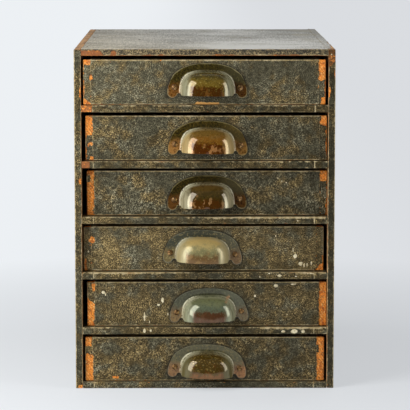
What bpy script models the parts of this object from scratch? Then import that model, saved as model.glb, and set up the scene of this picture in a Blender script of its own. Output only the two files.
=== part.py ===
"""A table-top cabinet of six shallow drawers for letters and stationery.

A carcass of thin boards, covered in book cloth, carries six boxed drawers that slide on full shelves.
Each drawer has a cup pull pressed from sheet brass, held by two round-headed screws.

Units are metres and +Z is up. The origin is the middle of the underside, and the front faces -Y.
"""

import math
from collections import namedtuple

import bmesh
import bpy
from mathutils import Matrix, Vector

# Cabinet
CABINET_WIDTH = 0.258
CABINET_HEIGHT = 0.340
CABINET_DEPTH = 0.380
SIDE_THICKNESS = 0.0066
TOP_THICKNESS = 0.0062
BOTTOM_THICKNESS = 0.0062
SHELF_THICKNESS = 0.0066
BACK_THICKNESS = 0.004
DRAWER_COUNT = 6
CARCASS_EDGE_ROUND = 0.0008

# Joints between the boards
SEAT_GAP = 0.0003
HOUSING_DEPTH = 0.0025
HOUSING_STOP = 0.010
TONGUE_THICKNESS = 0.003
BACK_REBATE = 0.0035

# Room that a drawer has in its bay
DRAWER_SIDE_PLAY = 0.0026
DRAWER_HEAD_GAP = 0.0040
DRAWER_FOOT_GAP = 0.0006
DRAWER_REAR_ROOM = 0.016

# Drawer boards
FRONT_THICKNESS = 0.009
FRONT_LAP = 0.005
FRONT_EDGE_ROUND = 0.0008
DRAWER_SIDE_THICKNESS = 0.0055
DRAWER_SIDE_DROP = 0.003
DRAWER_BACK_THICKNESS = 0.0055
DRAWER_BACK_DROP = 0.004
DRAWER_BACK_INSET = 0.006
DRAWER_BACK_HOUSING = 0.002
DRAWER_BOTTOM_THICKNESS = 0.003
DRAWER_BOTTOM_RISE = 0.004
GROOVE_DEPTH = 0.0025
DRAWER_EDGE_ROUND = 0.0006

# Cup pull. Heights are measured from the lip, the open lower edge of the hood.
PULL_WIDTH = 0.079
PULL_TOP = 0.031
PULL_PROJECTION = 0.0235
PULL_SHEET = 0.0009
PULL_SQUARENESS = 2.35
WING_WIDTH = 0.013
HOOD_HEIGHT = 0.0235
HOOD_SQUARENESS = 3.05
HOOD_FULLNESS = 2.5
FOOT_ROUND = 0.002
EAR_RADIUS = 0.005
EAR_DROP = 0.0032
NOTCH_RADIUS = 0.0024
NOTCH_RISE = 0.0016
SCREW_INSET = 0.007
SCREW_RISE = 0.0072

# Round-headed wood screw
HEAD_RADIUS = 0.0029
HEAD_HEIGHT = 0.0019
SHANK_RADIUS = 0.0012
SHANK_LENGTH = 0.0075
POINT_LENGTH = 0.0025
SLOT_WIDTH = 0.0008
SLOT_DEPTH = 0.0009

# Facets of the round forms
HOOD_ANGLES = 22
HOOD_STEPS = 7
FOOT_STEPS = 2
OUTLINE_STEPS = 12
ARC_STEPS = 5
HOLE_SIDES = 12
SCREW_SIDES = 12
DOME_STEPS = 3
BOARD_EDGE_STEPS = 2
CUT_MARGIN = 0.004

# How each drawer was found. lean is its share of the side play, to the right, and pushed is its share
# of the room behind it. shift and rise move its pull on the front, and turn tips the pull, in degrees.
Placing = namedtuple("Placing", "lean pushed shift rise turn left_slot right_slot")
PLACINGS = (
    Placing(-0.10, 0.15, 0.0027, 0.0016, 0.4, 88, 82),
    Placing(0.65, 0.35, 0.0014, 0.0002, 0.9, 40, 105),
    Placing(1.00, 0.75, 0.0000, 0.0006, -1.0, 12, 95),
    Placing(-0.45, 0.60, -0.0013, 0.0018, 1.6, 150, 60),
    Placing(1.00, 0.45, 0.0021, -0.0012, -1.0, 35, 130),
    Placing(0.00, 0.30, 0.0021, -0.0020, 1.5, 75, 110),
)

# Sizes that follow from those above
front_y = -CABINET_DEPTH / 2
back_y = CABINET_DEPTH / 2
bay_width = CABINET_WIDTH - 2 * SIDE_THICKNESS
bay_back_y = back_y - BACK_THICKNESS
inner_height = CABINET_HEIGHT - TOP_THICKNESS - BOTTOM_THICKNESS
bay_height = (inner_height - (DRAWER_COUNT - 1) * SHELF_THICKNESS) / DRAWER_COUNT
bay_pitch = bay_height + SHELF_THICKNESS
board_end_x = bay_width / 2 - SEAT_GAP
tongue_end_x = bay_width / 2 + HOUSING_DEPTH - SEAT_GAP

drawer_width = bay_width - 2 * DRAWER_SIDE_PLAY
drawer_length = bay_back_y - front_y - DRAWER_REAR_ROOM
front_top = bay_height - DRAWER_HEAD_GAP
side_top = front_top - DRAWER_SIDE_DROP
drawer_inner_x = drawer_width / 2 - DRAWER_SIDE_THICKNESS
groove_low = DRAWER_BOTTOM_RISE
groove_high = groove_low + DRAWER_BOTTOM_THICKNESS + 2 * SEAT_GAP
drawer_back_y = drawer_length - DRAWER_BACK_INSET

pull_middle = (PULL_TOP - EAR_DROP) / 2
hood_width = PULL_WIDTH - 2 * WING_WIDTH
ear_x = PULL_WIDTH / 2 - EAR_RADIUS
ear_z = EAR_RADIUS - EAR_DROP
screw_x = PULL_WIDTH / 2 - SCREW_INSET


def clear_scene():
    for old in list(bpy.data.objects):
        bpy.data.objects.remove(old)


def new_collection(name):
    made = bpy.data.collections.new(name)
    bpy.context.scene.collection.children.link(made)
    return made


def new_material(name, colour, roughness, metallic):
    made = bpy.data.materials.new(name)
    made.use_nodes = True
    shader = made.node_tree.nodes["Principled BSDF"]
    shader.inputs["Base Color"].default_value = (*colour, 1.0)
    shader.inputs["Roughness"].default_value = roughness
    shader.inputs["Metallic"].default_value = metallic
    made.diffuse_color = (*colour, 1.0)
    return made


def add_piece(name, mesh, material, parent=None, matrix=None):
    """A named piece of the cabinet that shows this mesh, placed in its parent's frame."""
    piece = bpy.data.objects.new(name, mesh)
    if not mesh.materials:
        mesh.materials.append(material)
    cabinet.objects.link(piece)
    piece.parent = parent
    piece.matrix_basis = matrix or Matrix.Identity(4)
    return piece


def helper(name, mesh):
    """A shape that only helps to make another: it is never shown and is removed after use."""
    made = bpy.data.objects.new(name, mesh)
    made.hide_render = True
    made.display_type = "WIRE"
    cutters.objects.link(made)
    return made


def block(low, high, edge_round=0.0, edge_steps=BOARD_EDGE_STEPS):
    """A rectangular board between two corners, with its edges eased."""
    low, high = Vector(low), Vector(high)
    bm = bmesh.new()
    bmesh.ops.create_cube(bm, size=1)
    bmesh.ops.scale(bm, vec=high - low, verts=bm.verts)
    bmesh.ops.translate(bm, vec=(low + high) / 2, verts=bm.verts)
    mesh = bpy.data.meshes.new("board")
    bm.to_mesh(mesh)
    bm.free()
    made = helper("board", mesh)
    if edge_round:
        ease = made.modifiers.new("Eased edges", "BEVEL")
        ease.width = edge_round
        ease.segments = edge_steps
    return made


def rod(radius, length, sides, place):
    """A round cutter along the Y axis, with its middle at a place."""
    bm = bmesh.new()
    bmesh.ops.create_cone(bm, cap_ends=True, segments=sides, radius1=radius, radius2=radius, depth=length)
    bmesh.ops.rotate(bm, cent=(0, 0, 0), matrix=Matrix.Rotation(math.pi / 2, 3, "X"), verts=bm.verts)
    bmesh.ops.translate(bm, vec=place, verts=bm.verts)
    mesh = bpy.data.meshes.new("rod")
    bm.to_mesh(mesh)
    bm.free()
    return helper("rod", mesh)


def finished(body, cuts=(), trim=None):
    """The mesh of a helper shape after its modifiers, trimmed to one shape and with others cut out."""
    for cut in [trim] if trim else []:
        keep = body.modifiers.new("Trim", "BOOLEAN")
        keep.operation = "INTERSECT"
        keep.object = cut
    for cut in cuts:
        away = body.modifiers.new("Cut", "BOOLEAN")
        away.operation = "DIFFERENCE"
        away.object = cut
    graph = bpy.context.evaluated_depsgraph_get()
    mesh = bpy.data.meshes.new_from_object(body.evaluated_get(graph))
    for used in (body, trim, *cuts):
        if used:
            bpy.data.objects.remove(used)
    return mesh


def smoothed(mesh, sharp_degrees):
    mesh.shade_smooth()
    mesh.set_sharp_from_angle(angle=math.radians(sharp_degrees))
    return mesh


def shelf_low(number):
    """Underside of a shelf, counted from 1 at the top."""
    return CABINET_HEIGHT - TOP_THICKNESS - number * bay_pitch


def bay_floor(number):
    """What the drawer of this number slides on, counted from 1 at the top."""
    return CABINET_HEIGHT - TOP_THICKNESS - (number - 1) * bay_pitch - bay_height


def housing(hand, low, high):
    """A stopped groove in the inner face of one side board, which takes the end of a shelf."""
    inner = hand * (bay_width / 2 - CUT_MARGIN)
    outer = hand * (bay_width / 2 + HOUSING_DEPTH)
    left, right = sorted((inner, outer))
    return block(
        (left, front_y + HOUSING_STOP, low - SEAT_GAP), (right, bay_back_y + CUT_MARGIN / 2, high + SEAT_GAP)
    )


def side_board(hand):
    """A side of the carcass: hand is -1 on the left and 1 on the right."""
    left, right = sorted((hand * bay_width / 2, hand * CABINET_WIDTH / 2))
    board = block((left, front_y, 0), (right, back_y, CABINET_HEIGHT), CARCASS_EDGE_ROUND)
    tongue_low = CABINET_HEIGHT - TOP_THICKNESS
    cuts = [housing(hand, tongue_low, tongue_low + TONGUE_THICKNESS)]
    for number in range(1, DRAWER_COUNT):
        cuts.append(housing(hand, shelf_low(number), shelf_low(number) + SHELF_THICKNESS))
    cuts.append(housing(hand, BOTTOM_THICKNESS - TONGUE_THICKNESS, BOTTOM_THICKNESS))
    left, right = sorted((hand * (bay_width / 2 - CUT_MARGIN), hand * (bay_width / 2 + BACK_REBATE)))
    rebate_low = (left, bay_back_y - SEAT_GAP, -CUT_MARGIN)
    rebate_high = (right, back_y + CUT_MARGIN, CABINET_HEIGHT + CUT_MARGIN)
    cuts.append(block(rebate_low, rebate_high))
    return finished(board, cuts)


def cross_board(low, high, tongue_low, tongue_high):
    """A board between the sides, with stopped tongues that seat in their housings."""
    rear = bay_back_y - SEAT_GAP
    board = block((-tongue_end_x, front_y, low), (tongue_end_x, rear, high), CARCASS_EDGE_ROUND)
    cuts = []
    for hand in (-1, 1):
        left, right = sorted((hand * board_end_x, hand * (tongue_end_x + CUT_MARGIN)))
        stop_y = front_y + HOUSING_STOP + SEAT_GAP
        cuts.append(
            block((left, front_y - CUT_MARGIN, low - CUT_MARGIN), (right, stop_y, high + CUT_MARGIN))
        )
        if tongue_low > low:
            cuts.append(
                block((left, stop_y - CUT_MARGIN, low - CUT_MARGIN), (right, rear + CUT_MARGIN, tongue_low))
            )
        if tongue_high < high:
            cuts.append(
                block((left, stop_y - CUT_MARGIN, tongue_high), (right, rear + CUT_MARGIN, high + CUT_MARGIN))
            )
    return finished(board, cuts)


def back_board():
    half = bay_width / 2 + BACK_REBATE - SEAT_GAP
    board = block((-half, bay_back_y, 0), (half, back_y, CABINET_HEIGHT), CARCASS_EDGE_ROUND)
    return finished(board)


def build_carcass():
    add_piece("left_side", side_board(-1), covered_board)
    add_piece("right_side", side_board(1), covered_board)
    top_low = CABINET_HEIGHT - TOP_THICKNESS
    top = cross_board(top_low, CABINET_HEIGHT, top_low, top_low + TONGUE_THICKNESS)
    add_piece("top_board", top, covered_board)
    bottom = cross_board(0, BOTTOM_THICKNESS, BOTTOM_THICKNESS - TONGUE_THICKNESS, BOTTOM_THICKNESS)
    add_piece("bottom_board", bottom, covered_board)
    add_piece("back_board", back_board(), bare_board)
    for number in range(1, DRAWER_COUNT):
        low = shelf_low(number)
        shelf = cross_board(low, low + SHELF_THICKNESS, low, low + SHELF_THICKNESS)
        add_piece(f"shelf_{number}", shelf, covered_board)


def drawer_front(screw_places):
    """The front of a drawer: lapped behind its ends for the sides, and grooved for the bottom."""
    half = drawer_width / 2
    board = block((-half, 0, DRAWER_FOOT_GAP), (half, FRONT_THICKNESS, front_top), FRONT_EDGE_ROUND)
    cuts = []
    for hand in (-1, 1):
        left, right = sorted((hand * (drawer_inner_x - SEAT_GAP), hand * (half + CUT_MARGIN)))
        lap_low = (left, FRONT_LAP, -CUT_MARGIN)
        lap_high = (right, FRONT_THICKNESS + CUT_MARGIN, front_top + CUT_MARGIN)
        cuts.append(block(lap_low, lap_high))
    groove_start = (-drawer_inner_x - CUT_MARGIN, FRONT_THICKNESS - GROOVE_DEPTH, groove_low)
    groove_end = (drawer_inner_x + CUT_MARGIN, FRONT_THICKNESS + CUT_MARGIN, groove_high)
    cuts.append(block(groove_start, groove_end))
    hole_end = SHANK_LENGTH - PULL_SHEET - SEAT_GAP
    for x, z in screw_places:
        middle_y = (hole_end - CUT_MARGIN) / 2
        cuts.append(rod(SHANK_RADIUS + SEAT_GAP, hole_end + CUT_MARGIN, HOLE_SIDES, (x, middle_y, z)))
    return finished(board, cuts)


def drawer_side(hand):
    """A side of a drawer, grooved for the bottom and housed for the back. Its lower edge is the runner."""
    left, right = sorted((hand * drawer_inner_x, hand * drawer_width / 2))
    low = (left, FRONT_LAP + SEAT_GAP, SEAT_GAP)
    board = block(low, (right, drawer_length, side_top), DRAWER_EDGE_ROUND, 1)
    left, right = sorted((hand * (drawer_inner_x - CUT_MARGIN), hand * (drawer_inner_x + GROOVE_DEPTH)))
    groove = block((left, -CUT_MARGIN, groove_low), (right, drawer_length + CUT_MARGIN, groove_high))
    left, right = sorted((hand * (drawer_inner_x - CUT_MARGIN), hand * (drawer_inner_x + DRAWER_BACK_HOUSING)))
    back_front_y = drawer_back_y - DRAWER_BACK_THICKNESS - SEAT_GAP
    back_rear_y = drawer_back_y + SEAT_GAP
    seat = block((left, back_front_y, (groove_low + groove_high) / 2), (right, back_rear_y, side_top + CUT_MARGIN))
    return finished(board, [groove, seat])


def drawer_back():
    half = drawer_inner_x + DRAWER_BACK_HOUSING - SEAT_GAP
    low = (-half, drawer_back_y - DRAWER_BACK_THICKNESS, groove_high)
    board = block(low, (half, drawer_back_y, side_top - DRAWER_BACK_DROP), DRAWER_EDGE_ROUND, 1)
    return finished(board)


def drawer_bottom():
    half = drawer_inner_x + GROOVE_DEPTH - SEAT_GAP
    low = (-half, FRONT_THICKNESS - GROOVE_DEPTH + SEAT_GAP, groove_low + SEAT_GAP)
    return finished(block(low, (half, drawer_length, groove_high - SEAT_GAP)))


def superellipse_reach(angle, half_width, height, squareness):
    """Distance from the middle of a squared ellipse to its edge, at an angle."""
    across = abs(math.cos(angle)) / half_width
    upward = abs(math.sin(angle)) / height
    return (across**squareness + upward**squareness) ** (-1 / squareness)


def pull_rings():
    """The rings of the pressed sheet, from the crown outwards. Each has its share of the hood's reach,
    its distance past the foot of the hood, and its height above the back of the flange."""
    foot = PULL_SHEET + FOOT_ROUND
    rings = []
    for step in range(HOOD_STEPS + 1):
        turn = math.pi / 2 * step / HOOD_STEPS
        share = math.sin(turn) ** (2 / HOOD_FULLNESS)
        height = foot + (PULL_PROJECTION - foot) * max(math.cos(turn), 0) ** (2 / HOOD_FULLNESS)
        rings.append((share, 0, height))
    for step in range(1, FOOT_STEPS + 1):
        turn = math.pi / 2 * step / FOOT_STEPS
        rings.append((1, FOOT_ROUND * (1 - math.cos(turn)), foot - FOOT_ROUND * math.sin(turn)))
    return rings


def pull_sheet():
    """The outer face of the pressing, as a fan of rings round the middle of the lip, before it is trimmed.
    The last ring is the flat blank, which reaches past the outline and below the ears."""
    rings = pull_rings()
    bm = bmesh.new()
    bmesh.ops.create_grid(bm, x_segments=HOOD_ANGLES, y_segments=len(rings), size=1)
    for vert in bm.verts:
        angle = math.pi * (1 - vert.co.x) / 2
        ring = round((vert.co.y + 1) / 2 * len(rings))
        drop = 0
        if ring < len(rings):
            share, past, height = rings[ring]
            reach = share * superellipse_reach(angle, hood_width / 2, HOOD_HEIGHT, HOOD_SQUARENESS) + past
        else:
            reach, height = PULL_WIDTH, PULL_SHEET
            drop = PULL_WIDTH * (1 - math.sin(angle))
        vert.co = (reach * math.cos(angle), -height, reach * math.sin(angle) - drop)
    bmesh.ops.remove_doubles(bm, verts=bm.verts, dist=1e-6)
    bmesh.ops.recalc_face_normals(bm, faces=bm.faces)
    bm.faces.ensure_lookup_table()
    if sum(face.normal.y * face.calc_area() for face in bm.faces) > 0:
        bmesh.ops.reverse_faces(bm, faces=bm.faces)
    mesh = bpy.data.meshes.new("pull_sheet")
    bm.to_mesh(mesh)
    bm.free()
    made = helper("pull_sheet", mesh)
    wall = made.modifiers.new("Sheet metal", "SOLIDIFY")
    wall.thickness = PULL_SHEET
    wall.offset = -1
    wall.use_even_offset = True
    return made


def arc_points(x, z, radius, start, end):
    """Points along an arc, with its angles in degrees."""
    turns = [math.radians(start + (end - start) * step / ARC_STEPS) for step in range(ARC_STEPS + 1)]
    return [(x + radius * math.cos(turn), z + radius * math.sin(turn)) for turn in turns]


def pull_outline():
    """The outline of the right half of the pull, from the top round the ear and the notch to the middle."""
    points = []
    for step in range(OUTLINE_STEPS):
        angle = math.pi / 2 * (1 - step / OUTLINE_STEPS)
        reach = superellipse_reach(angle, PULL_WIDTH / 2, PULL_TOP - ear_z, PULL_SQUARENESS)
        points.append((reach * math.cos(angle), ear_z + reach * math.sin(angle)))
    # The notch rounds into the ear where the two circles touch.
    notch_z = NOTCH_RISE - NOTCH_RADIUS
    between = EAR_RADIUS + NOTCH_RADIUS
    notch_x = ear_x - math.sqrt(between**2 - (ear_z - notch_z) ** 2)
    touch = math.degrees(math.atan2(ear_z - notch_z, ear_x - notch_x))
    points += arc_points(ear_x, ear_z, EAR_RADIUS, 0, touch - 180)
    points += arc_points(notch_x, notch_z, NOTCH_RADIUS, touch, 170)[1:]
    points.append((points[-1][0], -2 * EAR_DROP))
    return points


def pull_blank():
    """A prism of the pull's outline, which trims the pressed sheet."""
    right = pull_outline()
    left = [(-x, z) for x, z in reversed(right) if x > 1e-9]
    outline = right + left
    curve = bpy.data.curves.new("pull_outline", "CURVE")
    curve.dimensions = "2D"
    curve.fill_mode = "BOTH"
    curve.extrude = PULL_PROJECTION * 2
    spline = curve.splines.new("POLY")
    spline.points.add(len(outline) - 1)
    for point, (x, z) in zip(spline.points, outline):
        point.co = (x, z, 0, 1)
    spline.use_cyclic_u = True
    drawn = helper("pull_outline", curve)
    drawn.rotation_euler = (math.pi / 2, 0, 0)
    bpy.context.view_layer.update()
    graph = bpy.context.evaluated_depsgraph_get()
    mesh = bpy.data.meshes.new_from_object(drawn.evaluated_get(graph))
    mesh.transform(drawn.matrix_world)
    bm = bmesh.new()
    bm.from_mesh(mesh)
    bmesh.ops.remove_doubles(bm, verts=bm.verts, dist=1e-6)
    bmesh.ops.recalc_face_normals(bm, faces=bm.faces)
    bm.to_mesh(mesh)
    bm.free()
    bpy.data.objects.remove(drawn)
    return helper("pull_blank", mesh)


def cup_pull():
    holes = []
    for hand in (-1, 1):
        place = (hand * screw_x, 0, SCREW_RISE)
        holes.append(rod(SHANK_RADIUS + SEAT_GAP, CUT_MARGIN, HOLE_SIDES, place))
    return smoothed(finished(pull_sheet(), holes, trim=pull_blank()), 40)


def screw_profile():
    """Half the section of the screw, from the top of the head down to the point, as (radius, height)."""
    points = []
    for step in range(DOME_STEPS + 1):
        turn = math.pi / 2 * step / DOME_STEPS
        points.append((HEAD_RADIUS * math.sin(turn), HEAD_HEIGHT * math.cos(turn)))
    points.append((SHANK_RADIUS, 0))
    points.append((SHANK_RADIUS, POINT_LENGTH - SHANK_LENGTH))
    points.append((0, -SHANK_LENGTH))
    return points


def round_head_screw():
    """A slotted screw that points along +Y, with the underside of its head at the origin."""
    bm = bmesh.new()
    verts = [bm.verts.new((radius, 0, height)) for radius, height in screw_profile()]
    for first, second in zip(verts, verts[1:]):
        bm.edges.new((first, second))
    mesh = bpy.data.meshes.new("screw_profile")
    bm.to_mesh(mesh)
    bm.free()
    turned = helper("screw_profile", mesh)
    lathe = turned.modifiers.new("Turned", "SCREW")
    lathe.steps = SCREW_SIDES
    lathe.render_steps = SCREW_SIDES
    lathe.use_merge_vertices = True
    lathe.merge_threshold = 1e-5
    slot_low = (-2 * HEAD_RADIUS, -SLOT_WIDTH / 2, HEAD_HEIGHT - SLOT_DEPTH)
    slot_high = (2 * HEAD_RADIUS, SLOT_WIDTH / 2, HEAD_HEIGHT + CUT_MARGIN)
    made = finished(turned, [block(slot_low, slot_high)])
    made.transform(Matrix.Rotation(math.pi / 2, 4, "X"))
    return smoothed(made, 40)


def build_drawer(number, parts):
    """One drawer, carried by an empty at the foot of its front, where it slides."""
    placing = PLACINGS[(number - 1) % len(PLACINGS)]
    drawer = bpy.data.objects.new(f"drawer_{number}", None)
    cabinet.objects.link(drawer)
    drawer.location = (
        placing.lean * (DRAWER_SIDE_PLAY - SEAT_GAP),
        front_y + placing.pushed * (DRAWER_REAR_ROOM - SEAT_GAP),
        bay_floor(number),
    )
    lip_z = (DRAWER_FOOT_GAP + front_top) / 2 + placing.rise - pull_middle
    pull_place = Matrix.Translation((placing.shift, -SEAT_GAP, lip_z))
    pull_place = pull_place @ Matrix.Rotation(math.radians(placing.turn), 4, "Y")
    screws = []
    for hand, slot in ((-1, placing.left_slot), (1, placing.right_slot)):
        seat = Vector((hand * screw_x, -PULL_SHEET - SEAT_GAP, SCREW_RISE))
        screws.append(pull_place @ Matrix.Translation(seat) @ Matrix.Rotation(math.radians(slot), 4, "Y"))
    front = drawer_front([(place.translation.x, place.translation.z) for place in screws])
    name = f"drawer_{number}"
    add_piece(f"{name}_front", front, covered_board, drawer)
    add_piece(f"{name}_left_side", parts["left"], bare_board, drawer)
    add_piece(f"{name}_right_side", parts["right"], bare_board, drawer)
    add_piece(f"{name}_back", parts["back"], bare_board, drawer)
    add_piece(f"{name}_bottom", parts["bottom"], bare_board, drawer)
    add_piece(f"{name}_pull", parts["pull"], aged_brass, drawer, pull_place)
    add_piece(f"{name}_left_screw", parts["screw"], screw_brass, drawer, screws[0])
    add_piece(f"{name}_right_screw", parts["screw"], screw_brass, drawer, screws[1])


clear_scene()
cabinet = new_collection("drawer_cabinet")
cutters = new_collection("cutters")
cutters.hide_render = True
covered_board = new_material("covered_board", (0.055, 0.050, 0.036), 0.70, 0.0)
bare_board = new_material("bare_board", (0.36, 0.19, 0.085), 0.75, 0.0)
aged_brass = new_material("aged_brass", (0.30, 0.21, 0.075), 0.28, 0.9)
screw_brass = new_material("screw_brass", (0.26, 0.16, 0.07), 0.35, 0.9)

build_carcass()
shared_parts = {
    "left": drawer_side(-1),
    "right": drawer_side(1),
    "back": drawer_back(),
    "bottom": drawer_bottom(),
    "pull": cup_pull(),
    "screw": round_head_screw(),
}
for drawer_number in range(1, DRAWER_COUNT + 1):
    build_drawer(drawer_number, shared_parts)
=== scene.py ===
"""Looks of a worn table-top cabinet of six letter drawers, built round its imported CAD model.

The file follows the cabinet as it is put together: boards, book cloth, drawers, brass pulls and screws,
then the floor, light and camera. Units are metres, +Z is up and the front faces -Y.
"""

import bisect
import math
from collections import namedtuple

import bmesh
import bpy
from mathutils import Matrix, Vector, noise


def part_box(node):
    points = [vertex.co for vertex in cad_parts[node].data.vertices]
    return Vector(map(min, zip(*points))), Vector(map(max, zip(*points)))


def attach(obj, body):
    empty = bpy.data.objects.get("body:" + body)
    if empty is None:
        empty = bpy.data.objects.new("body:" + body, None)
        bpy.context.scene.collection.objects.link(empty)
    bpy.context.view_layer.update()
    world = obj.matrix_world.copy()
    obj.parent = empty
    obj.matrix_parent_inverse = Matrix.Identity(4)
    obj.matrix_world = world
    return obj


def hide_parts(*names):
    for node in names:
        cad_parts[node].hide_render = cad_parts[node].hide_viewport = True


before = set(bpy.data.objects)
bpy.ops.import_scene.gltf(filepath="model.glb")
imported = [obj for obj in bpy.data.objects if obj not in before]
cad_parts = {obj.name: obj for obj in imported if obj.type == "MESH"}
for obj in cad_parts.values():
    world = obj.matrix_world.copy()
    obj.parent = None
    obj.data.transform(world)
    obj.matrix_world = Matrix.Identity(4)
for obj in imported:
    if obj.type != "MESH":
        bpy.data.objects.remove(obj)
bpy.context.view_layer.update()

# Bare boards of the carcass: thin softwood, dark brown inside, with an orange ground under the cloth that
# shows where the cloth is rubbed off. They are housed in the two sides and carry everything else.
MM = 0.001
DRAWERS = range(1, 7)
SHELVES = range(1, 6)
SIDE_LOW, SIDE_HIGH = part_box("left_side")
FRONT_Y = SIDE_LOW.y
TOP_Z = SIDE_HIGH.z
INSIDE_X = -SIDE_HIGH.x
BARE_DARK = (0.200, 0.105, 0.044, 1)
BARE_BROWN = (0.380, 0.220, 0.100, 1)
GROUND_ORANGE = (0.900, 0.300, 0.038, 1)
GROUND_RUST = (0.480, 0.115, 0.018, 1)
GROUND_TAN = (0.990, 0.590, 0.190, 1)
TORN_BROWN = (0.072, 0.036, 0.012, 1)
TORN_RED = (0.210, 0.078, 0.030, 1)
EDGE_BROWN = (0.310, 0.165, 0.075, 1)
EDGE_TAN = (0.740, 0.400, 0.160, 1)


def new_finish(name):
    """A new material, its node tree and its shader."""
    finish = bpy.data.materials.new(name)
    finish.use_nodes = True
    return finish, finish.node_tree, finish.node_tree.nodes["Principled BSDF"]


def feed(node, inputs):
    """Feed the inputs of a node with values or with the outputs of other nodes."""
    for key, value in inputs.items():
        if isinstance(value, bpy.types.NodeSocket):
            node.id_data.links.new(value, node.inputs[key])
        else:
            node.inputs[key].default_value = value


def add_node(tree, kind, inputs, output=0, **settings):
    """Add a node, set it up, feed it, and return one of its outputs."""
    made = tree.nodes.new(kind)
    for key, value in settings.items():
        setattr(made, key, value)
    feed(made, inputs)
    return made.outputs[output]


def joined(operation, values):
    """Values put together one after the other. The first is an output of a node."""
    total = values[0]
    for value in values[1:]:
        total = add_node(total.id_data, "ShaderNodeMath", {0: total, 1: value}, operation=operation)
    return total


def sum_of(*values):
    return joined("ADD", values)


def product_of(*values):
    return joined("MULTIPLY", values)


def step_between(value, low, high):
    """0 at low, 1 at high and a smooth rise between, whichever of the two is larger."""
    inputs = {"Value": value, "From Min": low, "From Max": high}
    return add_node(value.id_data, "ShaderNodeMapRange", inputs, interpolation_type="SMOOTHSTEP")


def blend_colours(share, first, second):
    return add_node(share.id_data, "ShaderNodeMix", {0: share, 6: first, 7: second}, 2, data_type="RGBA")


def place_in_mm(tree, stretch=(1, 1, 1), shift=(0, 0, 0), turn=(0, 0, 0)):
    """Where a point is in its object at rest, in millimetres, with each axis stretched."""
    seen = add_node(tree, "ShaderNodeTexCoord", {}, "Object")
    scale = tuple(1000 * share for share in stretch)
    inputs = {"Vector": seen, "Scale": scale, "Location": shift, "Rotation": turn}
    return add_node(tree, "ShaderNodeMapping", inputs)


def one_axis(where, axis):
    return add_node(where.id_data, "ShaderNodeSeparateXYZ", {0: where}, axis)


def near_top(where, start, full):
    """0 at a start and 1 where it is full, both in millimetres below the cabinet's top."""
    return step_between(one_axis(where, "Z"), TOP_Z / MM - start, TOP_Z / MM - full)


def near_front(where, start, full):
    """0 at a start and 1 where it is full, both in millimetres behind the carcass's front."""
    return step_between(one_axis(where, "Y"), FRONT_Y / MM + start, FRONT_Y / MM + full)


def grain(where, per_mm, detail=3.0, roughness=0.55, distortion=0.0):
    """Noise with features of about one over per_mm millimetres."""
    inputs = {"Vector": where, "Scale": per_mm, "Detail": detail}
    inputs |= {"Roughness": roughness, "Distortion": distortion}
    return add_node(where.id_data, "ShaderNodeTexNoise", inputs, "Fac")


def raise_surface(shader, height, depth):
    """Bump of this depth, in metres, where height is 1."""
    bump = add_node(shader.id_data, "ShaderNodeBump", {"Height": height, "Distance": depth}, "Normal")
    feed(shader, {"Normal": bump})


def aged_softwood(name, along, dark, light):
    """Old bare softwood, with its grain along one axis."""
    finish, tree, shader = new_finish(name)
    stretch = tuple(0.04 if axis == along else 1.0 for axis in "xyz")
    lines = grain(place_in_mm(tree, stretch), 0.45, 4, 0.6, 0.6)
    stain = grain(place_in_mm(tree), 0.03, 4)
    fibre = grain(place_in_mm(tree, stretch), 2.6, 2)
    tone = sum_of(product_of(lines, 0.7), product_of(stain, 0.5), -0.1)
    colour = blend_colours(step_between(tone, 0.25, 0.75), dark, light)
    feed(shader, {"Base Color": colour, "Roughness": 0.72})
    raise_surface(shader, sum_of(lines, product_of(fibre, 0.5)), 0.25 * MM)
    return finish


def rubbed_ground(tree):
    """The ground under the cloth: orange with rust blotches, tan flecks, dark pits and scraps, and the print
    of a diagonal weave. Its relief comes with it."""
    where = place_in_mm(tree)
    blotch = step_between(grain(where, 0.22, 4, 0.7), 0.38, 0.51)
    flecks = step_between(grain(where, 0.62, 2, 0.6), 0.50, 0.60)
    slanted = place_in_mm(tree, turn=(0, math.radians(40), 0))
    weave = {"Vector": slanted, "Scale": 0.13, "Distortion": 4.0, "Detail": 2.0, "Detail Scale": 2.0}
    twill = add_node(tree, "ShaderNodeTexWave", weave, "Fac", bands_direction="X")
    colour = blend_colours(blotch, GROUND_RUST, GROUND_ORANGE)
    colour = blend_colours(product_of(twill, flecks, 0.95), colour, GROUND_TAN)
    thin = product_of(step_between(twill, 0.45, 0.05), 0.30)
    colour = blend_colours(thin, colour, GROUND_RUST)
    pits = step_between(grain(where, 0.80, 3, 0.6), 0.47, 0.38)
    colour = blend_colours(product_of(pits, 0.60), colour, TORN_RED)
    scraps = step_between(grain(where, 0.45, 4, 0.7), 0.61, 0.68)
    return blend_colours(product_of(scraps, 0.85), colour, TORN_BROWN), sum_of(twill, flecks)


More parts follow.
